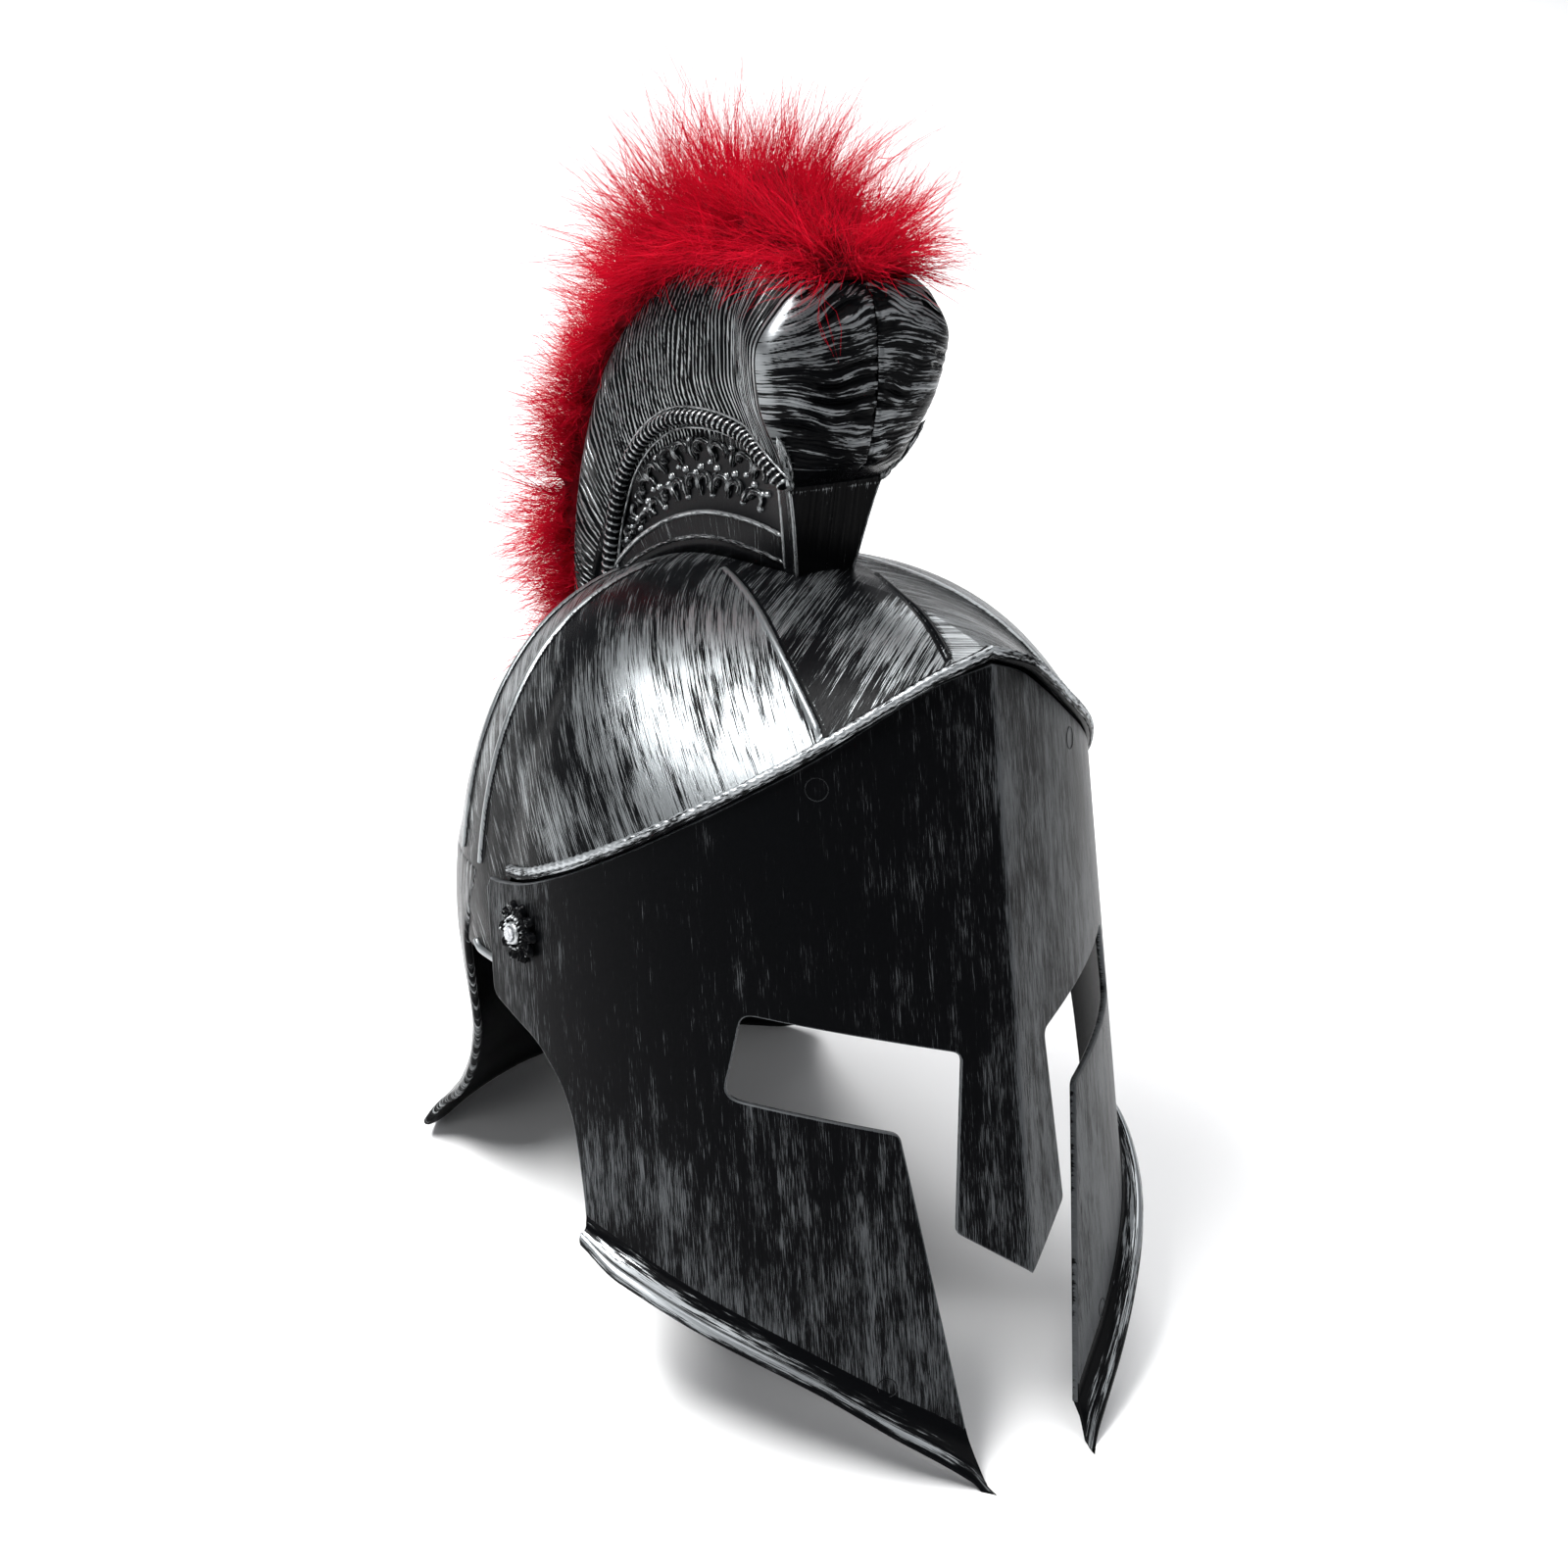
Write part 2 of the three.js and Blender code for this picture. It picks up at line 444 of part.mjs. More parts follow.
// ---------- rosettes and gems ----------
function rosette() {
  const petals = 9, pts = [];
  for (let i = 0; i < petals * 4; i++) {
    const a = (i / (petals * 4)) * 2 * Math.PI, ph = i % 4;
    pts.push([Math.cos(a) * [8.9, 7.7, 6.6, 7.7][ph], Math.sin(a) * [8.9, 7.7, 6.6, 7.7][ph]]);
  }
  const x0 = -(MASK_W * spread(PIN.z) + GAP + 0.15), disc = prism(pts, "x", x0 - 1.5, x0);
  const closed = solid(new THREE.LatheGeometry([[0, 0], [5.6, 0], [5.3, 1.1], [4.4, 1.5], [3.6, 0.9], [3.1, 0.9], [3.0, 2.6], [2.45, 2.6], [2.35, 1.5], [0, 1.5]].map(([a, b]) => new THREE.Vector2(a, b)), 20).rotateZ(Math.PI / 2));
  const pin = solid(new THREE.CylinderGeometry(PIN.r, PIN.r, 9, 14).rotateZ(Math.PI / 2).translate(x0 + 4.2, 0, 0));
  return Manifold.union([disc, closed.translate([x0 - 1.3, 0, 0]), pin]).translate([0, PIN.y, PIN.z]);
}
const gemGeo = new THREE.LatheGeometry([[0, 0], [0.9, 0], [2.0, 1.3], [1.25, 2.1], [0, 2.1]].map(([a, b]) => new THREE.Vector2(a, b)), 8);
gemGeo.rotateZ(Math.PI / 2);
const gemX = -(MASK_W * spread(PIN.z) + GAP + 0.15) - 1.3 - 1.5 - 0.3;
const gem = solid(gemGeo).translate([gemX, PIN.y, PIN.z]);
const rosR = rosette();

// ---------- flats to stand on ----------
const slope = Math.tan(rad(REST_PITCH));
const restPlane = prism([[-60, REST_Z - 60 * slope], [320, REST_Z + 320 * slope], [320, -200], [-60, -200]], "x", -200, 200);
// the neck guard is its own solid below SPLIT_Z, a hairline under the skull
const slab = (from, to) => solid(new THREE.BoxGeometry(400, 500, to - from).translate(0, 100, (from + to) / 2));
const neckGuard = skull.subtract(restPlane).intersect(slab(-200, SPLIT_Z - GAP));
skull = skull.subtract(restPlane).intersect(slab(SPLIT_Z, 400));
mask = mask.subtract(restPlane);

// ---------- assembly ----------
const root = new THREE.Group();
root.name = "roman_legionary_helmet";
const put = (name, m, colour, roughness, metalness) => {
  const mesh = m.getMesh(), g = new THREE.BufferGeometry();
  const n = mesh.numProp, v = new Float32Array(mesh.numVert * 3);
  for (let i = 0; i < mesh.numVert; i++) v.set(mesh.vertProperties.subarray(i * n, i * n + 3), i * 3);
  g.setAttribute("position", new THREE.BufferAttribute(v, 3));
  g.setIndex(new THREE.BufferAttribute(new Uint32Array(mesh.triVerts), 1));
  g.computeVertexNormals();
  const o = new THREE.Mesh(g, new THREE.MeshStandardMaterial({ name, color: colour, roughness, metalness }));
  o.name = name;
  root.add(o);
};
put("skull", skull, 0x3c4042, 0.45, 0.3);
put("neck_guard", neckGuard, 0x3c4042, 0.45, 0.3);
put("face_guard", mask, 0x2b2e30, 0.45, 0.3);
put("crest_shell_right", half, 0x383b3d, 0.45, 0.3);
put("crest_shell_left", halfM, 0x383b3d, 0.45, 0.3);
put("plume", plume, 0xb00e22, 0.9, 0);
put("rosette_right", rosR, 0x1e2021, 0.3, 0.4);
put("rosette_left", rosR.mirror([1, 0, 0]), 0x1e2021, 0.3, 0.4);
put("gem_right", gem, 0xe8eef2, 0.05, 0);
put("gem_left", gem.mirror([1, 0, 0]), 0xe8eef2, 0.05, 0);

root.scale.setScalar(HEAD_SIZE);
root.rotation.x = -rad(REST_PITCH);
root.updateMatrixWorld(true);
const box = new THREE.Box3().setFromObject(root, true), mid = box.getCenter(new THREE.Vector3());
root.position.set(-mid.x, -mid.y, -box.min.z);
root.updateMatrixWorld(true);
export default root;
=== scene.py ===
"""Costume helmet: skull with ribs, brow cord and neck guard, ridged face guard, crest with brush, rosettes and a
feather strip. Shapes are drawn upright in millimetres with the nose tip at 0,0,0 (x to the wearer's left, y back,
z up) and put into the row frame by place()."""
import math

import bpy
import numpy as np
from mathutils import Matrix, Vector, geometry


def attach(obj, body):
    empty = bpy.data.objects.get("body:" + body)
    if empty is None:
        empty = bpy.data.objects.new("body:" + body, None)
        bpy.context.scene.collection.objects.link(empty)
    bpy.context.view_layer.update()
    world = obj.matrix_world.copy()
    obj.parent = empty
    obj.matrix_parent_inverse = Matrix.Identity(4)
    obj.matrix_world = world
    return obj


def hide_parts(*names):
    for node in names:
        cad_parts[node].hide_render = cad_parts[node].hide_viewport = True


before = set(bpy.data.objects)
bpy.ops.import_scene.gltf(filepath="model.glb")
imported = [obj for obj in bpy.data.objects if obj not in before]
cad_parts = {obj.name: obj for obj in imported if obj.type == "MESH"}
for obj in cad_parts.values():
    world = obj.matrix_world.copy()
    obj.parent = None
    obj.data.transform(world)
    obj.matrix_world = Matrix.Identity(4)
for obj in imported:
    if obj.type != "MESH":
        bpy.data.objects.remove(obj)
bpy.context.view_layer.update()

SIDEWAYS = np.array([1.0, 0, 0])  # across the helmet
FLIP = np.array([-1, 1, 1])

# ---------- frame ----------
# the drawing is enlarged to an adult head, tipped forward on to its cheek tips and guard, and set on the floor
HEAD, PITCH, SHIFT = 1.05, math.radians(13.5), (-134.7139, 57.7879)


def xyz(*columns):
    """Points from their coordinates."""
    return np.stack(np.broadcast_arrays(*columns), -1)


def place(p):
    """Drawing millimetres to row metres."""
    x, y, z = np.moveaxis(np.asarray(p, float), -1, 0)
    c, s = math.cos(PITCH) * HEAD, math.sin(PITCH) * HEAD
    return xyz(HEAD * x, SHIFT[0] + c * y + s * z, SHIFT[1] - s * y + c * z) / 1000


def turn(v):
    """Turns a direction as place() does."""
    x, y, z = np.moveaxis(v, -1, 0)
    c, s = math.cos(PITCH), math.sin(PITCH)
    return xyz(x, c * y + s * z, -s * y + c * z)


# ---------- maths ----------
def smooth(a, b, x):
    t = np.clip((np.asarray(x, float) - a) / (b - a), 0, 1)
    return t * t * (3 - 2 * t)


def lerp(a, b, t):
    return a + (b - a) * t


def hermite(t, h, y0, m0, y1, m1):
    """Cubic over a step h from y0 with slope m0 to y1 with slope m1."""
    return (
        (2 * t**3 - 3 * t**2 + 1) * y0
        + (t**3 - 2 * t**2 + t) * h * m0
        + (3 * t**2 - 2 * t**3) * y1
        + (t**3 - t**2) * h * m1
    )


def curve(st):
    """Monotone cubic through stations."""
    X, Y = np.array(st, float).T
    d = np.diff(Y) / np.diff(X)
    m = np.concatenate([[d[0]], [0 if p * q <= 0 else 2 * p * q / (p + q) for p, q in zip(d[:-1], d[1:])], [d[-1]]])

    def f(x):
        x = np.clip(np.asarray(x, float), X[0], X[-1])
        i = np.clip(np.searchsorted(X, x, side="right") - 1, 0, len(X) - 2)
        h = X[i + 1] - X[i]
        return hermite((x - X[i]) / h, h, Y[i], m[i], Y[i + 1], m[i + 1])

    return f


def unit(v):
    return v / np.maximum(np.linalg.norm(v, axis=-1, keepdims=True), 1e-12)


def noise(x, y, seed=0):
    """Value noise from 0 to 1."""
    x, y = np.broadcast_arrays(np.asarray(x, float), np.asarray(y, float))
    xi, yi = np.floor(x).astype(np.int64), np.floor(y).astype(np.int64)
    fx, fy = x - xi, y - yi
    fx, fy = fx * fx * (3 - 2 * fx), fy * fy * (3 - 2 * fy)

    def h(a, b):
        n = (a * 374761393 + b * 668265263 + seed * 974634777) & 0xFFFFFFFF
        n = ((n ^ (n >> 13)) * 1274126177) & 0xFFFFFFFF
        return ((n ^ (n >> 16)) & 0xFFFF) / 65535.0

    return lerp(lerp(h(xi, yi), h(xi + 1, yi), fx), lerp(h(xi, yi + 1), h(xi + 1, yi + 1), fx), fy)


def fbm(x, y, seed=0):
    """Three octaves of noise."""
    return sum(noise(x * 2**k, y * 2**k, seed + k) / 2**k for k in range(3)) / sum(1 / 2**k for k in range(3))


def through(pts, n=1500):
    """Centripetal Catmull-Rom line through points, sampled evenly by length."""
    P = np.array(pts, float)
    P = np.vstack([2 * P[0] - P[1], P, 2 * P[-1] - P[-2]])
    t = np.concatenate([[0], np.cumsum(np.linalg.norm(np.diff(P, axis=0), axis=1) ** 0.5)])
    out = []
    for i in range(1, len(P) - 2):
        u = np.linspace(t[i], t[i + 1], 60, endpoint=i == len(P) - 3)[:, None]
        L = lambda a, b, ta, tb: (tb - u) / (tb - ta) * a + (u - ta) / (tb - ta) * b
        A1, A2, A3 = (L(P[k], P[k + 1], t[k], t[k + 1]) for k in (i - 1, i, i + 1))
        B1, B2 = L(A1, A2, t[i - 1], t[i + 1]), L(A2, A3, t[i], t[i + 2])
        out.append(L(B1, B2, t[i], t[i + 1]))
    return resample(np.vstack(out), n)


def resample(Q, n):
    s = np.concatenate([[0], np.cumsum(np.linalg.norm(np.diff(Q, axis=0), axis=1))])
    u = np.linspace(0, s[-1], n)
    return np.stack([np.interp(u, s, Q[:, k]) for k in range(Q.shape[1])], 1)


def at(line, s):
    """Points of an evenly sampled line at shares s of its length."""
    x = np.clip(np.asarray(s, float), 0, 1) * (len(line) - 1)
    i = np.minimum(x.astype(int), len(line) - 2)
    return line[i] + (line[i + 1] - line[i]) * (x - i)[..., None]


# ---------- meshes ----------
class Bag:
    """Gathers vertices and faces; st is the brushing direction's coordinates in mm, and the value per point adds or
    takes silver: real dry-brush wear, and in some places painted light and shade.
    """

    def __init__(self):
        self.V, self.F, self.S, self.W, self.N, self.n = [], [], [], [], [], 0

    def add(self, V, faces, st=None, tone_and_painted_light=0.0, normals=None):
        V = np.asarray(V, float).reshape(-1, 3)
        faces = [np.asarray(f, int) for f in (faces if isinstance(faces, list) else [faces]) if len(f)]
        fans = [V[f[:, [0, k, k + 1]]] for f in faces for k in range(1, f.shape[1] - 1)]
        # a closed body whose faces look inwards has a negative volume
        if sum(np.einsum("ij,ij->i", t[:, 0], np.cross(t[:, 1], t[:, 2])).sum() for t in fans) < 0:
            faces = [f[:, ::-1] for f in faces]
        self.V.append(V)
        self.F += [f + self.n for f in faces]
        self.S.append(np.broadcast_to(np.zeros(3) if st is None else np.reshape(st, (-1, 3)), (len(V), 3)))
        self.W.append(np.broadcast_to(np.ravel(tone_and_painted_light), (len(V),)))
        self.N.append(normals)
        self.n += len(V)
        return self

    def bar(self, path, rad, m, tone_and_painted_light, **how):
        V, F, st = tube(path, rad, m, **how)
        return self.add(V, F, st, tone_and_painted_light)

    def mirror(self):
        """Adds the mirror image."""
        b = flipped(self, (371.0, 53.0, 0))
        self.V, self.S, self.W, self.N = self.V + b.V, self.S + b.S, self.W + b.W, self.N + b.N
        self.F = self.F + [f + self.n for f in b.F]
        self.n *= 2
        return self


def flipped(b, shift=(611.0, 97.0, 0)):
    """The mirror image alone, brushed in another place of the noise."""
    c = Bag()
    c.V, c.S, c.W, c.n = [v * FLIP for v in b.V], [q * FLIP + np.array(shift) for q in b.S], list(b.W), b.n
    c.F = [f[:, ::-1] for f in b.F]
    c.N = [None if q is None else q * FLIP for q in b.N]
    return c


def piece(name, bag, mat, slot, *nodes, sharp=None, floor_cut=False):
    V = np.vstack(bag.V)
    me = bpy.data.meshes.new(name)
    loops = np.concatenate([f.ravel() for f in bag.F])
    sizes = np.concatenate([np.full(len(f), f.shape[1]) for f in bag.F])
    me.vertices.add(len(V))
    P = place(V)
    if floor_cut:
        P[:, 2] = np.maximum(P[:, 2], 0)
    me.vertices.foreach_set("co", P.astype(np.float32).ravel())
    me.loops.add(len(loops))
    me.loops.foreach_set("vertex_index", loops.astype(np.int32))
    me.polygons.add(len(sizes))
    me.polygons.foreach_set("loop_start", np.concatenate([[0], np.cumsum(sizes)[:-1]]).astype(np.int32))
    me.update(calc_edges=True)
    for key, kind, field, rows in (("st", "FLOAT_VECTOR", "vector", bag.S), ("tone_and_painted_light", "FLOAT", "value", bag.W)):
        me.attributes.new(key, kind, "POINT").data.foreach_set(field, np.concatenate(rows).astype(np.float32).ravel())
    me.shade_smooth()
    if sharp:
        me.set_sharp_from_angle(angle=math.radians(sharp))
    if all(n is not None for n in bag.N) and bag.N:
        me.normals_split_custom_set_from_vertices(unit(turn(np.vstack(bag.N))).tolist())
    me.materials.append(mat)
    o = bpy.data.objects.new(name, me)
    bpy.context.scene.collection.objects.link(o)
    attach(o, "root")
    if nodes:
        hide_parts(*nodes)
    return o


def gridfaces(r, c, wrap=False):
    i, j = np.arange(r - 1)[:, None], np.arange(c if wrap else c - 1)[None, :]
    a, b = i * c + j, i * c + (j + 1) % c
    return np.stack([a, b, b + c, a + c], -1).reshape(-1, 4)


def grid_normals(P):
    return unit(np.cross(np.gradient(P, axis=1), np.gradient(P, axis=0)))


def strips(rows):
    """Closed bands of faces between rows of point numbers."""
    return [np.stack([a, b, np.roll(b, -1), np.roll(a, -1)], 1) for a, b in zip(rows[:-1], rows[1:])]


def caps(n, c):
    """The two end faces of n rings of c points."""
    return [np.arange(c)[None, ::-1], np.arange(c)[None] + (n - 1) * c]


def thick(P, t, N):
    """Solid of wall t behind the grid P with a full round edge; the last value is 1 on points of the inner side."""
    r, c = P.shape[:2]
    idx = np.arange(r * c).reshape(r, c)
    loop = np.concatenate([idx[0, :-1], idx[:-1, -1], idx[-1, :0:-1], idx[:0:-1, 0]])
    A, n = P.reshape(-1, 3), N.reshape(-1, 3)
    edge, ne = A[loop], n[loop]
    e = unit(np.cross(np.roll(edge, -1, 0) - np.roll(edge, 1, 0), ne))
    mid = A[idx[r // 2, c // 2]]
    if np.einsum("ij,ij->i", e, edge - mid).mean() < 0:
        e = -e
    V, rows, k0 = [A, A - n * t], [loop], 2 * r * c
    for k in range(1, 6):
        th = math.pi * k / 6
        V.append(edge - ne * t / 2 + (ne * math.cos(th) + e * math.sin(th)) * t / 2)
        rows.append(k0 + np.arange(len(loop)))
        k0 += len(loop)
    rows.append(loop + r * c)
    F = [gridfaces(r, c), gridfaces(r, c)[:, ::-1] + r * c] + strips(rows)
    V = np.vstack(V)
    inner = np.zeros(len(V))
    inner[r * c : 2 * r * c] = 1
    return V, orient(F, rows), inner


def orient(F, rows):
    """Turns the rim strips the way the outer grid faces, from the edge that both share."""
    edge = (rows[0][0], rows[0][1])

    def runs(f):
        f = list(f)
        return any((f[k], f[(k + 1) % len(f)]) == edge for k in range(len(f)))

    outer = next(f for f in F[0] if edge[0] in f and edge[1] in f)
    if runs(outer) == runs(F[2][0]):
        F = F[:2] + [f[:, ::-1] for f in F[2:]]
    return F


def tube(path, rad, m, up=(0, 0, 1.0), twist=None, ends=True):
    """Round bar along a path. rad may vary; twist(arc, angle) adds to it."""
    P = np.asarray(path, float)
    T = unit(np.gradient(P, axis=0))
    U = np.broadcast_to(np.array(up), P.shape)
    B = unit(np.cross(T, U))
    U = np.cross(B, T)
    s = np.concatenate([[0], np.cumsum(np.linalg.norm(np.diff(P, axis=0), axis=1))])
    a = np.arange(m) / m * 2 * math.pi
    R = np.broadcast_to(np.asarray(rad, float).reshape(-1, 1), (len(P), m)).copy()
    if twist is not None:
        R = R + twist(s[:, None], a[None, :])
    if ends:
        for k, sh in enumerate((0.05, 0.5, 0.85)):
            R[k] *= sh
            R[-1 - k] *= sh
    V = P[:, None] + (B[:, None] * np.cos(a)[:, None] + U[:, None] * np.sin(a)[:, None]) * R[..., None]
    F = [gridfaces(len(P), m, True)] + caps(len(P), m)
    return V.reshape(-1, 3), F, xyz(a * 1.5, s[:, None], 0).reshape(-1, 3)


# ---------- skull ----------
AX, Z0, H, POW, WALL = 122.0, 61.0, 121.0, 2.65, 2.0
# radius and front edge height by degrees from the centre line
skull_r = curve(
    [[0, 172], [9, 150], [18, 128], [28, 114.3], [40, 106.8], [50, 103], [62, 100.4]]
    + [[74, 98], [84, 95.2], [92, 92.8], [110, 93.5], [145, 96], [180, 97]]
)
brow_z = curve(
    [[0, 171], [9, 166], [18, 158], [28, 148.5], [40, 138]]
    + [[50, 129.3], [62, 119], [74, 110], [84, 104.3], [90, 102.6]]
)
BROW_END, EAR_Z, NAPE_Z = 89.0, 74.0, 84.0


def meridian(z, off=0.0):
    return np.where(z <= Z0, 1.0, np.maximum(0, 1 - (np.maximum(z - Z0, 0) / (H + off)) ** POW) ** (1 / POW))


def on_skull(deg, z, off=0.0):
    deg, z = np.broadcast_arrays(np.asarray(deg, float), np.asarray(z, float))
    r = (skull_r(np.abs(deg)) + off) * meridian(z, off)
    return xyz(-np.sin(np.radians(deg)) * r, AX - np.cos(np.radians(deg)) * r, z)


def skull_top(x, y, off=0.0):
    R = skull_r(np.abs(np.degrees(np.arctan2(-x, AX - y)))) + off
    return Z0 + (H + off) * np.maximum(0, 1 - (np.hypot(x, y - AX) / R) ** POW) ** (1 / POW)


def skull_edge(a):
    a = np.abs(a)
    low = lerp(float(brow_z(BROW_END)), lerp(EAR_Z, NAPE_Z, smooth(100, 110, a)), smooth(BROW_END, BROW_END + 3, a))
    return np.where(a <= BROW_END, brow_z(a), low)


RIB_FRONT = [[-20, 118], [-30, 90], [-37, 70], [-41, 55], [-43.4, 41.5]]
RIB_MID = [[14, 90], [9, 79], [2.5, 63], [-3.5, 45], [-9.6, 28.5]]


def in_front(x, y):
    """The dome's part between the two front ribs."""
    return (np.abs(x) < np.interp(y, [40, 55, 70, 90, 118, 126], [43.4, 41, 37, 30, 20, 8])) & (y < 124)


def streaks(V):
    """Brushing coordinates on the dome: down the meridians, slanted between the front ribs."""
    x, y, z = V[..., 0], V[..., 1], V[..., 2]
    u, v = 0.57 * np.abs(x) + 0.66 * y - 0.49 * z + 300 * (x > 0), -0.6 * y - 0.8 * z
    mid = np.interp(y, [20, 28.5, 45, 63, 79, 90, 118], [-13, -9.6, -3.5, 2.5, 9, 14, 20])
    front = in_front(x, y)
    out = xyz(u, v, 0)
    for cond, sg, dx in ((front & (x < mid), 1, 500), (front & (x >= mid), -1, 900)):
        alt = xyz(-0.58 * sg * x + 0.68 * y + 0.45 * z + dx, -0.61 * sg * x - 0.79 * z, 0)
        out = np.where(cond[..., None], alt, out)
    return out


spans = (0, 10, 0.5), (10, 30, 0.8), (30, 86, 1.2), (86, 94, 0.5), (94, 180.01, 1.6)
half = np.unique(np.concatenate([np.arange(*q) for q in spans] + [[180]]))
degs = np.concatenate([half, -half[-2:0:-1]])


def dome(off, rows, relief):
    """Grid of the dome from under its top to its edge, off mm outside the plain surface."""
    e = skull_edge(degs)
    hh = H + off
    end = np.arccos(np.clip((e - Z0) / hh, 0, 1) ** (POW / 2))
    t = (np.arange(1, rows + 1) / rows)[:, None]
    th = end[None] * t**1.02
    z = Z0 + hh * np.cos(th) ** (2 / POW)
    r = (skull_r(np.abs(degs))[None] + off) * np.sin(th) ** (2 / POW)
    a = np.radians(degs)[None]
    if relief:
        uneven = (fbm(np.cos(a) * 5 + z / 30, np.sin(a) * 5 + 9, 3) - 0.5) * 0.7
        band = 0.55 * smooth(82, 87, z) * (1 - smooth(98, 103, z)) * smooth(88, 94, np.abs(degs))[None]
        r = r + (uneven * smooth(0.02, 0.2, t) + band) * np.sin(th)
    return xyz(-np.sin(a) * r, AX - np.cos(a) * r, z)


def skull_dome():
    out, inn = dome(0, 96, True), dome(-WALL, 24, False)
    c = len(degs)
    V = np.vstack([[[0, AX, Z0 + H]], out.reshape(-1, 3), [[0, AX, Z0 + H - WALL]], inn.reshape(-1, 3)])
    o0, i0 = 1, 1 + out.shape[0] * c + 1
    j = np.arange(c)
    F = [gridfaces(out.shape[0], c, True) + o0, gridfaces(inn.shape[0], c, True)[:, ::-1] + i0]
    F.append(np.stack([np.zeros(c, int), o0 + (j + 1) % c, o0 + j], 1)[:, ::-1])
    F.append(np.stack([np.full(c, i0 - 1), i0 + (j + 1) % c, i0 + j], 1))
    lo, li = o0 + (out.shape[0] - 1) * c, i0 + (inn.shape[0] - 1) * c
    F.append(np.stack([lo + j, lo + (j + 1) % c, li + (j + 1) % c, li + j], 1))
    y, z, ad = V[:, 1], V[:, 2], np.abs(np.degrees(np.arctan2(-V[:, 0], AX - V[:, 1])))
    tone_and_painted_light = 0.10 * smooth(95, 130, z) * (1 - smooth(150, 176, z)) - 0.05 * smooth(150, 175, z)
    # painted shade: less silver on the front panels between the front ribs, darkening them where their silver catches
    # no highlight
    tone_and_painted_light -= (0.12 + 0.32 * smooth(175, 160, z)) * in_front(V[:, 0], y)
    tone_and_painted_light -= 0.2 * smooth(62, 88, ad) * (1 - smooth(95, 125, ad))
    tone_and_painted_light += 0.14 * smooth(70, 45, y) + 0.1 * smooth(150, 172, z)
    tone_and_painted_light[i0 - 1 :] = -1
    return Bag().add(V, F, streaks(V), tone_and_painted_light)


def guard_grid():
    """Outer face of the neck guard, flared towards its lower edge."""
    # height, degrees of its side edge, and how far it stands outside the skull
    G = [[-9, 134.5, 21.5], [3, 132, 13.5], [14, 126.5, 6], [28, 120.5, 0.2], [42, 116, -1.8]]
    G = np.array(G + [[58, 113, -1.2], [74, 110, 0.3], [86, 106, 0.7], [97, 103, 0.7]])
    ang, step = curve(G[:, [0, 1]]), curve(G[:, [0, 2]])
    t = np.linspace(-1, 1, 141)[None]
    # the lower edge is cut level where it meets the table
    low = np.maximum(-8.0, np.interp(np.abs(t), [0, 0.35, 0.6, 0.8, 1], [-0.4, -1.3, -3.6, -6.6, -8.0]))
    z = lerp(97, low, np.linspace(0, 1, 64)[:, None])
    d = 180 + t * (180 - ang(z) - 0.6)
    d = np.where(d > 180, d - 360, d)
    p = on_skull(d, z + 0 * t)
    r = np.hypot(p[..., 0], p[..., 1] - AX)
    k = (r + step(z) - 0.0008 * r * np.maximum(0, 60 - z)) / r
    return xyz(p[..., 0] * k, AX + (p[..., 1] - AX) * k, z + 6 * t**6 * smooth(20, -9, z))


def neck_guard():
    P = guard_grid()
    N = grid_normals(P)
    N = -N if N[..., 1].mean() < 0 else N
    V, F, inner = thick(P, 2.5, N)
    phi = np.arctan2(V[:, 0], V[:, 1] - AX)
    st = xyz(phi * 97, -V[:, 2], 0)
    return Bag().add(V, F, st, np.where(inner > 0, -1, smooth(-2, -8.5, V[:, 2]) * 0.35))


def ear_tab():
    i, j = np.meshgrid(np.linspace(0, 1, 25), np.linspace(0, 1, 15))
    a = lerp(77, 108, i)
    z = lerp(98, EAR_Z + 4 * smooth(90, 77, a), j)
    R = lerp(91, skull_r(a) - 0.3, smooth(90, 96, a))
    k = meridian(z)
    P = xyz(-np.sin(np.radians(a)) * R * k, AX - np.cos(np.radians(a)) * R * k, z)
    N = grid_normals(P)
    V, F, _ = thick(P, 2.4, -N if N[..., 0].mean() > 0 else N)
    return Bag().add(V, F, xyz(V[:, 1], V[:, 2], 0), -1.0).mirror()


def brow_line(dz, dr, n=420):
    """Half of the skull's front edge from the centre to the ear, dz up and dr out."""
    a = np.linspace(0, 1, n) ** 1.15 * (BROW_END + 1)
    p = on_skull(np.maximum(a, 1e-3), brow_z(a))
    rad = xyz(-np.sin(np.radians(a)), -np.cos(np.radians(a)), 0)
    return resample(p + rad * np.interp(a, *dr)[..., None] + np.array([0, 0, dz]), n)


def half_bar(path, rad, m, twist=None):
    """Bar on one side that meets its mirror image in the centre plane."""
    V, F, st = tube(path, rad, m, twist=twist)
    V = V.reshape(-1, m, 3)
    T = unit(path[3] - path[0])
    for k in range(3):  # undo the round cap at the centre and slide the first ring into the plane
        V[k] = path[k] + (V[3] - path[3])
    V[0] -= T * (V[0][:, :1] / T[0])
    return V.reshape(-1, 3), F[:1] + F[2:], st


def brow_cord():
    b = Bag()
    rope = lambda s, a: 0.12 * np.sin(2 * a + s * 2 * math.pi / 2.6) + 0.04 * np.sin(s * 1.7 + a)
    ang = [0, 60, 90]
    for dz, dr, n, r, m, twist, tone_and_painted_light in (
        (0.75, [0.75, 0.75, 0.6], 420, 1.15, 12, rope, 0.34),  # the rope
        (-0.85, [1.1, 1.1, 1.1], 420, 0.55, 8, None, 0.05),  # thin line under it
        (-0.2, [-0.5, -0.6, -0.9], 260, 1.7, 10, None, -0.8),  # dark body behind both
    ):
        V, F, st = half_bar(brow_line(dz, (ang, dr), n), r, m, twist)
        b.add(V, F, st, tone_and_painted_light)
    return b.mirror()


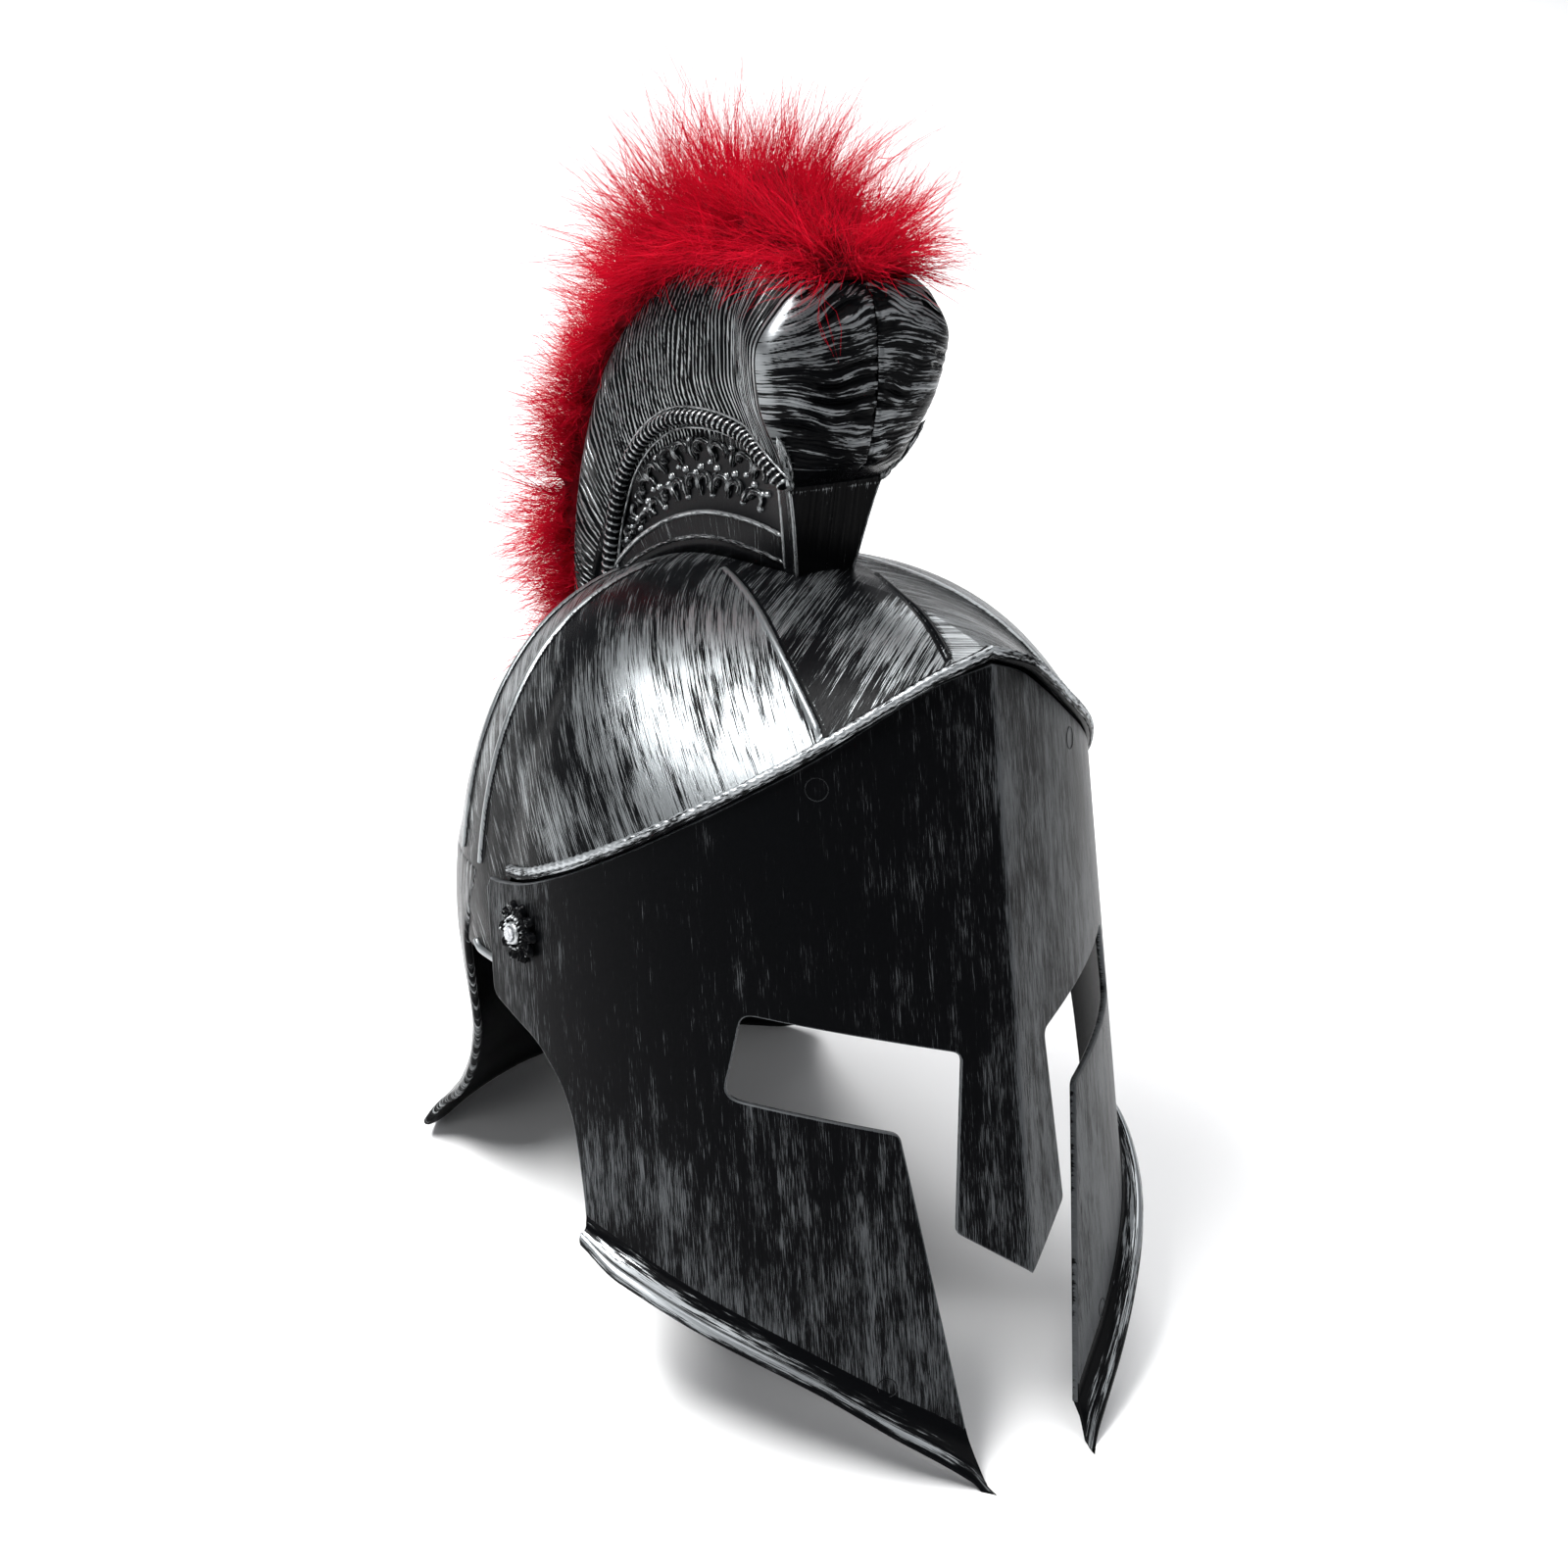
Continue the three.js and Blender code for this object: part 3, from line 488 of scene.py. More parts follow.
def rib(plan, h=0.8, w=1.25, turned=False, lit=1.0):
    """Raised line over the dome with a painted shadow, a thin dark line, along one side."""
    n, c = 220, 13
    line = through(plan, n)
    T = unit(np.gradient(line, axis=0))
    S = xyz(-T[:, 1], T[:, 0])
    o = np.array([-3.0, -2.4, -1.7, -1.3, -0.9, -0.45, 0, 0.45, 0.9, 1.3, 1.7, 2.4, 3.0]) * w / 1.7
    hh = np.array([0.02, 0.03, 0.05, 0.2, 0.55, 0.86, 0.95, 0.86, 0.55, 0.2, 0.05, 0.03, 0.02]) * h / 0.95
    # silver across the section; the two dark values on one side paint the shadow beside the raised line
    tone_and_painted_light = np.array([0, -0.6, -0.5, 0.1, 0.4, 0.55, 0.6, 0.5, 0.3, 0.0, -0.1, 0, 0])
    tone_and_painted_light = np.where(tone_and_painted_light > 0, tone_and_painted_light * lit, tone_and_painted_light * 0.8)[:: -1 if turned else 1]
    end = np.minimum(smooth(0, 6, np.arange(n)), smooth(n - 1, n - 7, np.arange(n)))
    V = np.zeros((n, c, 3))
    for k in range(c):
        q = line + S * o[k]
        V[:, k] = np.c_[q, skull_top(*q.T, hh[k] * end + 0.03)]
    V = np.vstack([V.reshape(-1, 3), V.reshape(-1, 3) - (0, 0, 1.5)])
    return V, [gridfaces(n, c), gridfaces(n, c)[:, ::-1] + n * c], streaks(V), np.tile(tone_and_painted_light, 2 * n)


def cross_rib(y0, y1, z1):
    """Raised line over one side of the dome, in a plane across it."""
    n = 240
    zt = float(skull_top(np.array(14.0), np.array(float(y0)))) - 1
    t = np.linspace(0, 1, n)
    z, y = lerp(zt, z1, t**1.35), lerp(y0, y1, t)
    o = np.array([-2.6, -1.7, -1.2, -0.6, 0, 0.6, 1.2, 1.7, 2.6])
    hh = np.array([0.03, 0.05, 0.4, 0.85, 0.95, 0.85, 0.4, 0.05, 0.03])
    tone_and_painted_light = np.array([0, -0.5, 0.2, 0.5, 0.6, 0.5, 0.2, -0.4, 0])
    V = np.zeros((n, 9, 3))
    for k in range(9):
        lo, hi = np.zeros(n), np.full(n, 130.0)
        for _ in range(30):
            m = (lo + hi) / 2
            up = skull_top(-m, y + o[k], hh[k] + 0.03) > z
            lo, hi = np.where(up, m, lo), np.where(up, hi, m)
        V[:, k] = xyz(-lo, y + o[k], z)
    return V.reshape(-1, 3), [gridfaces(n, 9)], streaks(V.reshape(-1, 3)), np.tile(tone_and_painted_light, n)


def ribs():
    b = Bag().add(*rib(RIB_FRONT, turned=True))
    for r in ((146, 141, 100), (166, 158, 100)):
        b.add(*cross_rib(*r))
    a = np.linspace(91.5, 103, 60)
    b.bar(on_skull(a, skull_edge(a) + 0.8, 0.1), 1.15, 8, 0.35)
    b.mirror()
    return b.add(*rib(RIB_MID, 0.55, 1.15, lit=-0.6))


# ---------- face guard ----------
LEAN, MW, MS, MV, MP, WIDEN = 0.1337, 94.5, 79.0, 0.42, 3.0, 0.00033
EAR_Y = 129.0


def flank(x, e=0.0):
    x = np.minimum(np.abs(x), MW)
    return MV * (np.sqrt(x * x + e * e)) + MS * (1 - np.maximum(0, 1 - (x / MW) ** MP) ** (1 / MP))


_x = MW * (1 - (1 - np.linspace(0, 1, 2500)) ** 3)
_rear = xyz(MW - 0.3 * np.linspace(0.02, 1, 80), float(flank(MW)) + np.linspace(0.4, 34, 80))
_prof = np.vstack([xyz(_x, flank(_x, 0.7)), _rear])
_L = np.concatenate([[0], np.cumsum(np.linalg.norm(np.diff(_prof, axis=0), axis=1))])
_Lg = np.linspace(0, _L[-1], 3000)
_px, _py = np.interp(_Lg, _L, _prof[:, 0]), np.interp(_Lg, _L, _prof[:, 1])
_tx, _ty = np.gradient(_px), np.gradient(_py)
_ker = np.ones(9) / 9
_tx, _ty = (np.convolve(np.pad(v, 4, "edge"), _ker, "valid") for v in (_tx, _ty))
_l = np.hypot(_tx, _ty)
_nx, _ny = _ty / _l, -_tx / _l
_nx[0] = 0
spread = lambda z: 1 + WIDEN * (110 - z)


def mask_at(s, z, off=0.0):
    """Point of the face guard's outer face, s mm from the ridge along the level line."""
    s, z, off = np.broadcast_arrays(np.asarray(s, float), np.asarray(z, float), np.asarray(off, float))
    a, sg = np.abs(s), np.where(s < 0, -1.0, 1.0)
    x, y, nx, ny = (np.interp(a, _Lg, q) for q in (_px, _py, _nx, _ny))
    return xyz(sg * (x * spread(z) + nx * off), y + LEAN * z + ny * off, z)


def mask_normal(s, z):
    e = 0.6
    du = mask_at(s + e, z) - mask_at(s - e, z)
    dv = mask_at(s, z + e) - mask_at(s, z - e)
    n = unit(np.cross(du, dv))
    return n * np.where(n[..., 1:2] + n[..., :1] * 0 > 0.9, -1, 1)


def s_of_x(x, z):
    return np.sign(x) * np.interp(np.abs(x) / spread(z), _px, _Lg)


def s_of_y(y, z):
    return np.interp(y - LEAN * z, _py, _Lg)


# corners of the outline in front view and in side view, with the rounding radius
EYE = [(0, 0, 0), (19.7, 13.8, 1.5), (15.0, 63.6, 2.5), (65.2, 76.5, 3)]
EYE += [(70.4, 53.4, 4), (32, 42.6, 2), (20.3, -47, 0), (18.2, -62, 0)]
LIP = np.array([[0.2, -51.5], [2.6, -46], [14.5, -32], [31, -16.6], [47, -6], [64.5, 3.4], [80.6, 9.6]])
REAR = [(82, 17, 1), (84.5, 29, 2), (87, 39, 3), (92, 49, 5)]
REAR += [(102.5, 58.5, 5), (124.5, 66.5, 3), (EAR_Y - 0.5, 97, 0), (EAR_Y, 118, 0)]


def rounded(pts):
    """Replaces each corner that has a radius by a parabola."""
    out = []
    for i, (a, b, r) in enumerate(pts):
        if not r:
            out.append((a, b))
            continue
        p, q, c = np.array(pts[i - 1][:2], float), np.array(pts[(i + 1) % len(pts)][:2], float), np.array([a, b], float)
        A, B = c + unit(p - c) * r, c + unit(q - c) * r
        for t in np.linspace(0, 1, 7):
            out.append(tuple((1 - t) ** 2 * A + 2 * t * (1 - t) * c + t * t * B))
    return np.array(out)


def dense(P, step):
    """Adds points so that none is much more than a step from the next."""
    out = []
    for a, b in zip(P[:-1], P[1:]):
        n = max(1, int(round(np.linalg.norm(b - a) / step)))
        out += [a + (b - a) * k / n for k in range(n)]
    return np.array(out + [P[-1]])


lip_z = curve([[y, z] for y, z in LIP])


def lip_line():
    """The crease of the lower lip: s and z from the ear to the front."""
    y = np.linspace(80.9, 0.2, 600)
    z = lip_z(y)
    return s_of_y(y, z), z


def mask_outline():
    """The face guard's edge as a closed line of s and z."""
    inner = dense(rounded(EYE), 1.2)
    si = xyz(s_of_x(inner[:, 0], inner[:, 1]), inner[:, 1])
    ls, lz = lip_line()
    # cut the inner edge where it meets the lip line
    cut = None
    for k in range(len(si) - 1, 0, -1):
        if si[k, 1] < 20 and np.interp(si[k, 0], ls[::-1], lz[::-1]) < si[k, 1]:
            cut = k
            break
    corner = si[cut]
    si = si[: cut + 1]
    keep = ls > corner[0] + 0.6
    low = xyz(ls[keep], lz[keep])[::-1]
    low = dense(resample(low, 120), 3)
    rear = rounded([(80.9, 9.7, 0)] + REAR)[1:]
    rs = np.array([[float(s_of_y(a, b)), b] for a, b in rear])
    top_s = np.linspace(rs[-1, 0], 0, 170)
    top_z = np.full(170, 120.0)
    for _ in range(60):
        p = mask_at(top_s, top_z)
        a = np.degrees(np.arctan2(np.abs(p[:, 0]), AX - p[:, 1]))
        top_z = np.minimum(brow_z(a), 200) - lerp(2.9, 2.4, smooth(20, 60, a))
    rs = rs[rs[:, 1] < top_z[0] - 1]
    halfline = np.vstack([si, low, dense(rs, 1.5), xyz(top_s, top_z)])
    halfline = halfline[np.concatenate([[True], np.linalg.norm(np.diff(halfline, axis=0), axis=1) > 0.25])]
    other = halfline[1:-1][::-1] * np.array([-1, 1])
    return np.vstack([halfline, other])


def inside(P, poly):
    x, y = P[:, 0], P[:, 1]
    c = np.zeros(len(P), bool)
    for (x0, y0), (x1, y1) in zip(poly, np.roll(poly, -1, 0)):
        if y0 != y1:
            hit = ((y0 > y) != (y1 > y)) & (x < (x1 - x0) * (y - y0) / (y1 - y0) + x0)
            c ^= hit
    return c


def face_guard():
    """The ridged shell: a triangle net over the outline, its copy a wall behind, and a round edge of radius r."""
    loop = mask_outline()
    r = 0.5
    area = 0.5 * np.sum(loop[:, 0] * np.roll(loop[:, 1], -1) - np.roll(loop[:, 0], -1) * loop[:, 1])
    if area < 0:
        loop = loop[::-1]
    a, b = unit(loop - np.roll(loop, 1, 0)), unit(np.roll(loop, -1, 0) - loop)
    na, nb = xyz(a[:, 1], -a[:, 0]), xyz(b[:, 1], -b[:, 0])
    out = unit(na + nb)
    out = out / np.clip((out * na).sum(1, keepdims=True), 0.45, 1)
    ring = loop - out * r
    cols = np.unique(np.concatenate([[0, 0.35, 0.7, 1.1, 1.7, 2.6], np.arange(4, 215, 2.1)]))
    cols = np.concatenate([-cols[:0:-1], cols])
    zz = np.arange(-66, 175, 2.4)
    G = np.stack(np.meshgrid(cols, zz), -1).reshape(-1, 2)
    G = G[inside(G, ring)]
    d = np.full(len(G), 1e9)
    for q in range(0, len(ring), 40):
        d = np.minimum(d, np.linalg.norm(G[:, None] - ring[None, q : q + 40], axis=2).min(1))
    G = G[d > np.where(np.abs(G[:, 0]) < 3, 0.5, 1.15)]
    m = len(ring)
    pts = [Vector(p) for p in np.vstack([ring, G])]
    edges = [(k, (k + 1) % m) for k in range(m)]
    vs, _, fs, orig, _, _ = geometry.delaunay_2d_cdt(pts, edges, [list(range(m))], 1, 1e-5)
    P2 = np.array([(v.x, v.y) for v in vs])
    first = {}
    for k, o in enumerate(orig):
        for q in o:
            first[q] = k
    lk = np.array([first[k] for k in range(m)])
    F3 = np.array([f for f in fs if len(f) == 3])
    n2 = len(P2)
    N = mask_normal(P2[:, 0], P2[:, 1])
    N *= np.sign((N * (mask_at(P2[:, 0], P2[:, 1], 1.0) - mask_at(P2[:, 0], P2[:, 1]))).sum(1))[:, None]
    V = [mask_at(P2[:, 0], P2[:, 1]), mask_at(P2[:, 0], P2[:, 1], -WALL)]
    NN = [N, -N]
    P0 = V[0][lk]
    nl = N[lk]
    oe = mask_at(loop[:, 0], loop[:, 1]) - P0
    oe = unit(oe - nl * (oe * nl).sum(1, keepdims=True))
    S2 = [P2, P2]
    rows, base = [lk], 2 * n2
    for th, depth in ((30, 0), (60, 0), (90, 0), (90, 1), (60, 1), (30, 1)):
        t = math.radians(th)
        ins, off = r * (1 - math.sin(t)), -r * (1 - math.cos(t))
        if depth:
            off = -WALL - off
        q = loop - out * ins
        V.append(mask_at(q[:, 0], q[:, 1], off))
        NN.append(nl * math.cos(t) * (-1 if depth else 1) + oe * math.sin(t))
        S2.append(q)
        rows.append(base + np.arange(m))
        base += m
    rows.append(lk + n2)
    F = [F3, F3[:, ::-1] + n2]
    quads = strips(rows)
    V, NN, S2 = np.vstack(V), np.vstack(NN), np.vstack(S2)

    def facing(faces, f):
        """The faces, turned if face f looks away from its normal."""
        away = np.dot(np.cross(V[f[1]] - V[f[0]], V[f[2]] - V[f[0]]), NN[f[0]]) < 0
        return [q[:, ::-1] for q in faces] if away else faces

    F, quads = facing(F, F3[0]), facing(quads, quads[0][5])
    s, z = S2[:, 0], S2[:, 1]
    # more silver low on the cheeks; painted light on the wearer's left face (s > 0) and painted shade on the upper part
    # of the wearer's right face
    tone_and_painted_light = -0.02 + 0.2 * smooth(70, -30, z) + 0.2 * smooth(-0.5, 1.5, s)
    tone_and_painted_light = tone_and_painted_light - 0.16 * smooth(10, 60, -s) * smooth(20, 80, z) * (1 - smooth(105, 150, -s))
    tone_and_painted_light += 0.30 * smooth(1.6, 0.2, np.abs(s)) * smooth(10, 120, z + 40)
    tone_and_painted_light = tone_and_painted_light + 0.12 * smooth(120, 170, np.abs(s)) * (z > 60)
    tone_and_painted_light[n2 : 2 * n2] = -1
    tone_and_painted_light[2 * n2 : 2 * n2 + 3 * m] = 0.6
    # the volume test in add() must not turn the faces again
    bag = Bag()
    bag.V, bag.F, bag.N, bag.n = [V], F + quads, [NN], len(V)
    bag.S, bag.W = [xyz(s, z, 0)], [tone_and_painted_light]
    return bag


def lip():
    """The rolled lower edge, swept along the crease."""
    q = resample(xyz(*lip_line()), 330)
    # carried past the cheek's inner edge, then cut there
    d = unit(q[-1] - q[-8])
    q = np.vstack([q, q[-1] + d * np.linspace(0.4, 9, 24)[:, None]])
    s, z = q[:, 0], q[:, 1]
    n3 = mask_at(s, z, 1.0) - mask_at(s, z)
    n3[:, 2] = 0
    n3 = unit(n3)
    y = mask_at(s, z)[:, 1]
    wide = 6.3 * lerp(0.62, 1, smooth(81, 66, y))
    drop = lerp(1.3, 0.6, smooth(0, 26, y))
    # section of the roll: how far out, how far up, and its silver
    prof = [(-0.04, 4.4, 0.0), (0.05, 3.2, 0.05), (0.3, 2.2, 0.1), (0.8, 1.45, 0.2), (1.5, 1.05, 0.3)]
    prof += [(2.4, 0.9, 0.45), (3.4, 0.85, 0.5), (3.9, 0.9, 0.4), (4.2, 1.2, 0.2), (4.6, 1.55, 0.7)]
    prof += [(5.2, 1.65, 0.8), (5.8, 1.35, 0.7), (6.2, 0.7, 0.4), (6.3, 0.0, 0.2), (6.2, -0.6, 0.0)]
    prof += [(5.8, -1.1, -0.1), (5.0, -1.35, -0.5), (3, -1.5, -0.8), (0.6, -1.6, -0.9)]
    prof += [(-1.2, -1.6, -0.9), (-1.9, -1.1, -0.9), (-2.05, 0, -0.9), (-2.05, 4.4, -0.9)]
    V = []
    for o, h, _ in prof:
        o2 = np.where(o > 0, o * wide / 6.3, o)
        p = mask_at(s, z + h) + n3 * o2[:, None]
        p[:, 2] -= drop * np.maximum(0, o2)
        V.append(p)
    V = np.stack(V, 1)  # sections, profile, 3
    # the cheek's inner edge in front view
    for j in range(V.shape[1]):
        xi = np.interp(V[:, j, 2], [-62, -47, 42.6], [18.2, 20.3, 32])
        over = np.where(V[:, j, 0] < xi + 0.02)[0]
        if len(over):
            k = over[0]
            a, b = V[k - 1, j], V[k, j]
            t = np.clip((a[0] - xi[k]) / max(1e-6, a[0] - b[0]), 0, 1)
            V[k:, j] = a + (b - a) * t
    m = V.shape[1]
    # round the rear end
    c = V[4].mean(0)
    for k, sh in enumerate((0.55, 0.8, 0.93)):
        V[k] = c + (V[k] - c) * sh
    st = xyz(np.arange(m) * 0.8, s[:, None], 0)
    # painted light: the rear part of the roll keeps more silver than the front part, standing in for a highlight along
    # the rear
    far = np.clip(np.repeat(np.linspace(0, 1, len(V)), m) - 0.42, 0, 0.25) / 0.25
    tone_and_painted_light = np.tile([p[2] for p in prof], len(V)) - 0.3 * far
    return Bag().add(V, [gridfaces(len(V), m, True)] + caps(len(V), m), st, tone_and_painted_light).mirror()


def ring_marks():
    """Small raised circles left by the mould's ejector pins."""
    b = Bag()
    for x, z, r in ((-45, 137, 3.1), (-40, -28, 2.6), (45, 137, 3.1), (40, -28, 2.6)):
        s0 = float(s_of_x(x, z))
        a = np.linspace(0, 2 * math.pi, 49)
        P = mask_at(s0 + r * np.cos(a), z + r * np.sin(a), -0.02)
        V, F, st = tube(P, 0.16, 6, ends=False)
        b.add(V, F[:1], st, 0.1)
    return b


# ---------- crest ----------
UNDER = [[95.6, 180.4], [104, 182.9], [120, 184.9], [138, 184.9], [158, 180.6], [177, 172.5], [190, 162.5], [198, 150]]
UNDER = through(UNDER)
RIM_PTS = [[80.5, 264], [100, 268.4], [122, 268.6], [148, 263], [172, 251], [192, 233]]
RIM_PTS += [[205, 208], [209.5, 180], [208, 146]]
RIM = through(RIM_PTS)
STRIP = through(RIM_PTS + [[210.5, 136], [214, 126]])


def half_width(s, v):
    """Half width of the crest at share s of its length and v of its height."""
    s, v = np.broadcast_arrays(np.asarray(s, float), np.asarray(v, float))
    f, g = 1 - smooth(0, 0.18, s), 1 - smooth(0.1, 0.75, s)
    holder, brush, top = lerp(12.5, 15.8, f), lerp(15, 20, g), lerp(12, 16, g)
    st = [(0, lerp(11.5, 9.7, f)), (0.31, holder), (0.41, lerp(holder + 1.2, 20, f)), (0.62, lerp(brush, 30, f))]
    st += [(0.79, lerp(brush, 33, f)), (0.94, lerp(top, 25.5, f)), (1, lerp(top - 3, 19, f))]
    X, Y = np.array([k for k, _ in st]), np.stack([w for _, w in st], -1)
    d = np.diff(Y, axis=-1) / np.diff(X)
    pq, sm = d[..., :-1] * d[..., 1:], d[..., :-1] + d[..., 1:]
    inner = np.where(pq > 0, 2 * pq / np.where(np.abs(sm) < 1e-9, 1, sm), 0)
    m = np.concatenate([d[..., :1], inner, d[..., -1:]], -1)
    i = np.clip(np.searchsorted(X, v, side="right") - 1, 0, len(X) - 2)
    h = X[i + 1] - X[i]
    pick = lambda A, k: np.take_along_axis(A, k[..., None], -1)[..., 0]
    return hermite((v - X[i]) / h, h, pick(Y, i), pick(m, i), pick(Y, i + 1), pick(m, i + 1))


bulge_of = curve([[0, 0], [0.32, 0], [0.36, 6], [0.42, 13], [0.6, 14.5], [0.79, 12], [0.94, 7.5], [1, 3]])
C_Y, C_Z = 138.0, 170.0  # centre of the arch mouldings in side view
ALONG, UP = 330, 80  # mm of the crest side's brushing coordinates


def yz(s, v):
    """Side view point at share s of the crest's length and v of its height."""
    a, b = at(UNDER, s), at(RIM, s)
    return a + (b - a) * np.asarray(v)[..., None]


def side_relief(s, v):
    """Height of the flutes, panel and strips on the crest's side."""
    arc = s * ALONG
    lean = 26 * smooth(0.03, 0.3, s) * (v - 0.4) + 5 * np.sin(v * 4 + s * 9) * smooth(0.02, 0.1, s)
    w = 3 * (noise(arc / 16, v * 2.2, 11) - 0.5) + 1.2 * (noise(arc / 5, v * 4, 12) - 0.5)
    ph = (arc + lean + w * 1.7) / 4.3
    amp = 0.7 + 1.0 * noise(np.floor(ph) * 1.37, v * 3, 5)
    tooth = np.abs(np.sin(math.pi * ph)) ** 1.5 - 1
    fine = (np.abs(np.sin(math.pi * (ph * 2.0 + 0.3))) - 1) * 0.16
    brush = smooth(0.385, 0.42, v)
    rel = (amp * tooth + fine) * brush * smooth(0.006, 0.022, s)
    panel = smooth(0.05, 0.058, s) * smooth(0.115, 0.14, v) * (1 - smooth(0.33, 0.35, v))
    rel = rel - 0.9 * panel
    rel = rel + 0.35 * (1 - smooth(0.045, 0.052, s)) * (1 - smooth(0.31, 0.325, v))
    return rel, brush, panel, tooth * brush


def crest_side():
    """One side of the crest with its flutes."""
    s = np.concatenate([np.linspace(0, 0.06, 26)[:-1], np.linspace(0.06, 1, 600)])
    v = np.concatenate([np.linspace(0, 0.36, 18)[:-1], np.linspace(0.36, 1, 36)])
    S, Vv = np.meshgrid(s, v)
    rel, brush, panel, tooth = side_relief(S, Vv)
    w = half_width(S, Vv) + rel
    p = yz(S, Vv)
    side = xyz(-w, p[..., 0], p[..., 1])
    # round the rim over to the centre, and close the underside
    lid = np.concatenate([side[-1:] * (k, 1, 1) for k in (0.8, 0.5, 0.02)])
    foot = np.repeat(side[:1], 2, 0) * np.array([[[0.01, 1, 1]], [[0.98, 1, 1]]])
    foot[..., 2] = np.minimum(foot[..., 2], skull_top(foot[..., 0], foot[..., 1], -0.8))
    G = np.vstack([foot, side, lid])
    pad = lambda A: np.vstack([np.repeat(A[:1], 2, 0), A, np.repeat(A[-1:], 3, 0)])
    tone_and_painted_light = np.where(brush > 0.5, 0.46 + 2.1 * tooth, 0.05 - 1.0 * panel)
    tone_and_painted_light = tone_and_painted_light + 0.3 * smooth(0.02, 0.008, S) * (Vv > 0.4) - 0.15 * (1 - smooth(0.0, 0.3, Vv))
    tone_and_painted_light = pad(tone_and_painted_light) - 0.25 * pad(smooth(0.75, 1.0, S))
    return Bag().add(G, gridfaces(*G.shape[:2]), xyz(pad(S * ALONG), pad(Vv * UP), 0), tone_and_painted_light)


def crest_front(k):
    """The bulged front of the brush and the flat front of the block under it."""
    t = np.concatenate([[0.004, 0.012, 0.03], np.linspace(0.06, 0.9, 64), 1 - (1 - np.linspace(0.9, 1, 18)[1:])])
    v = np.concatenate([np.linspace(0, 0.3, 20), np.linspace(0.305, 0.35, 14), np.linspace(0.355, 1, 150)])
    T, Vv = np.meshgrid(t, v)
    w = half_width(0 * Vv, Vv) + side_relief(0 * Vv, Vv)[0]
    p = yz(0 * Vv, Vv)
    push = np.maximum(0, 1 - T**2.8) ** 0.6
    up = smooth(0.36, 0.42, Vv)
    # hair swept across the face: broken wavy grooves that droop towards the centre
    bend = T**2 * (-0.5 + 3.4 * smooth(0.5, 0.97, Vv)) + 1.3 * (noise(T * 2.2, Vv * 6, 31 + k) - 0.5)
    bend = bend + 0.3 * (noise(T * 4, Vv * 14, 32 + k) - 0.5)
    ph = Vv * 17 + 0.9 * bend
    g = np.abs(np.sin(math.pi * ph)) ** 0.8 - 1
    lock = smooth(0.42, 0.68, noise(T * 2.4 + 5, Vv * 11, 33 + k))
    amp = (0.2 + 1.7 * lock) * (1 - 0.55 * smooth(0.35, 0.05, T))
    fine = 0.36 * (np.abs(np.sin(math.pi * (Vv * 61 + 2.9 * bend + noise(T * 6, Vv * 30, 34 + k)))) - 1)
    rel = (g * amp * 1.15 + fine) * up * smooth(1.0, 0.86, T)
    seam = -0.9 * smooth(0.03, 0.0, T) * up
    y = p[..., 0] - bulge_of(Vv) * push - rel - seam
    strokes = 0.12 * (noise(T * w * 1.6, Vv * 3, 41) - 0.5) * (1 - up)
    V = xyz(-w * T, y + strokes, p[..., 1])
    tone_and_painted_light = 0.42 + 1.3 * g * (0.3 + 0.7 * lock) + 1.5 * fine + (fbm(T * 3 + 3, Vv * 14, 35 + k) - 0.5)
    # more silver towards the upper outer part of the brush; extra silver on the outer edge is wear; the narrow bright
    # band at the block's top ledge is a painted highlight; less silver on the step under the brush's bulge
    tone_and_painted_light = np.where(up > 0.5, tone_and_painted_light + 0.3 * smooth(0.75, 1, Vv) * smooth(0.3, 0.8, T), -0.3)
    tone_and_painted_light = tone_and_painted_light + 0.45 * smooth(0.9, 1.0, T) * up + 0.35 * np.exp(-(((Vv - 0.305) / 0.006) ** 2))
    tone_and_painted_light = tone_and_painted_light - 0.5 * smooth(0.31, 0.325, Vv) * (1 - smooth(0.36, 0.40, Vv))
    st = np.where(up[..., None] > 0.5, xyz(ph * 3.3, T * w, 0), xyz(T * w, Vv * UP, 40))
    return Bag().add(V, gridfaces(*V.shape[:2]), st, tone_and_painted_light)


# the crest's side as points of the side view with their half width, plain and with its relief
_s, _v = np.meshgrid(np.linspace(0, 1, 500), np.linspace(0, 1, 160))
_p = yz(_s, _v).reshape(-1, 2)
_w = (half_width(_s, _v) + side_relief(_s, _v)[0]).ravel()
_w0 = half_width(_s, _v).ravel()


def side_x(y, z, smoothed=False):
    """x of the crest's side over points of the side view, from the six nearest known points."""
    q = xyz(np.ravel(y), np.ravel(z))
    out = np.zeros(len(q))
    for k in range(0, len(q), 64):
        d = ((q[k : k + 64, None] - _p[None]) ** 2).sum(2)
        i = np.argpartition(d, 6, axis=1)[:, :6]
        wt = 1 / (np.take_along_axis(d, i, 1) + 0.02)
        out[k : k + 64] = ((_w0 if smoothed else _w)[i] * wt).sum(1) / wt.sum(1)
    return -out.reshape(np.shape(y))


def rope_line(n):
    P = [[90.6, 208.0], [99, 213.0], [109, 217.3], [121, 220.8], [134, 222.0], [149, 220.2], [163, 213.6]]
    return through(P + [[174, 203.8], [182.5, 190], [187.5, 176], [189.6, 163], [190.2, 150]], n).T


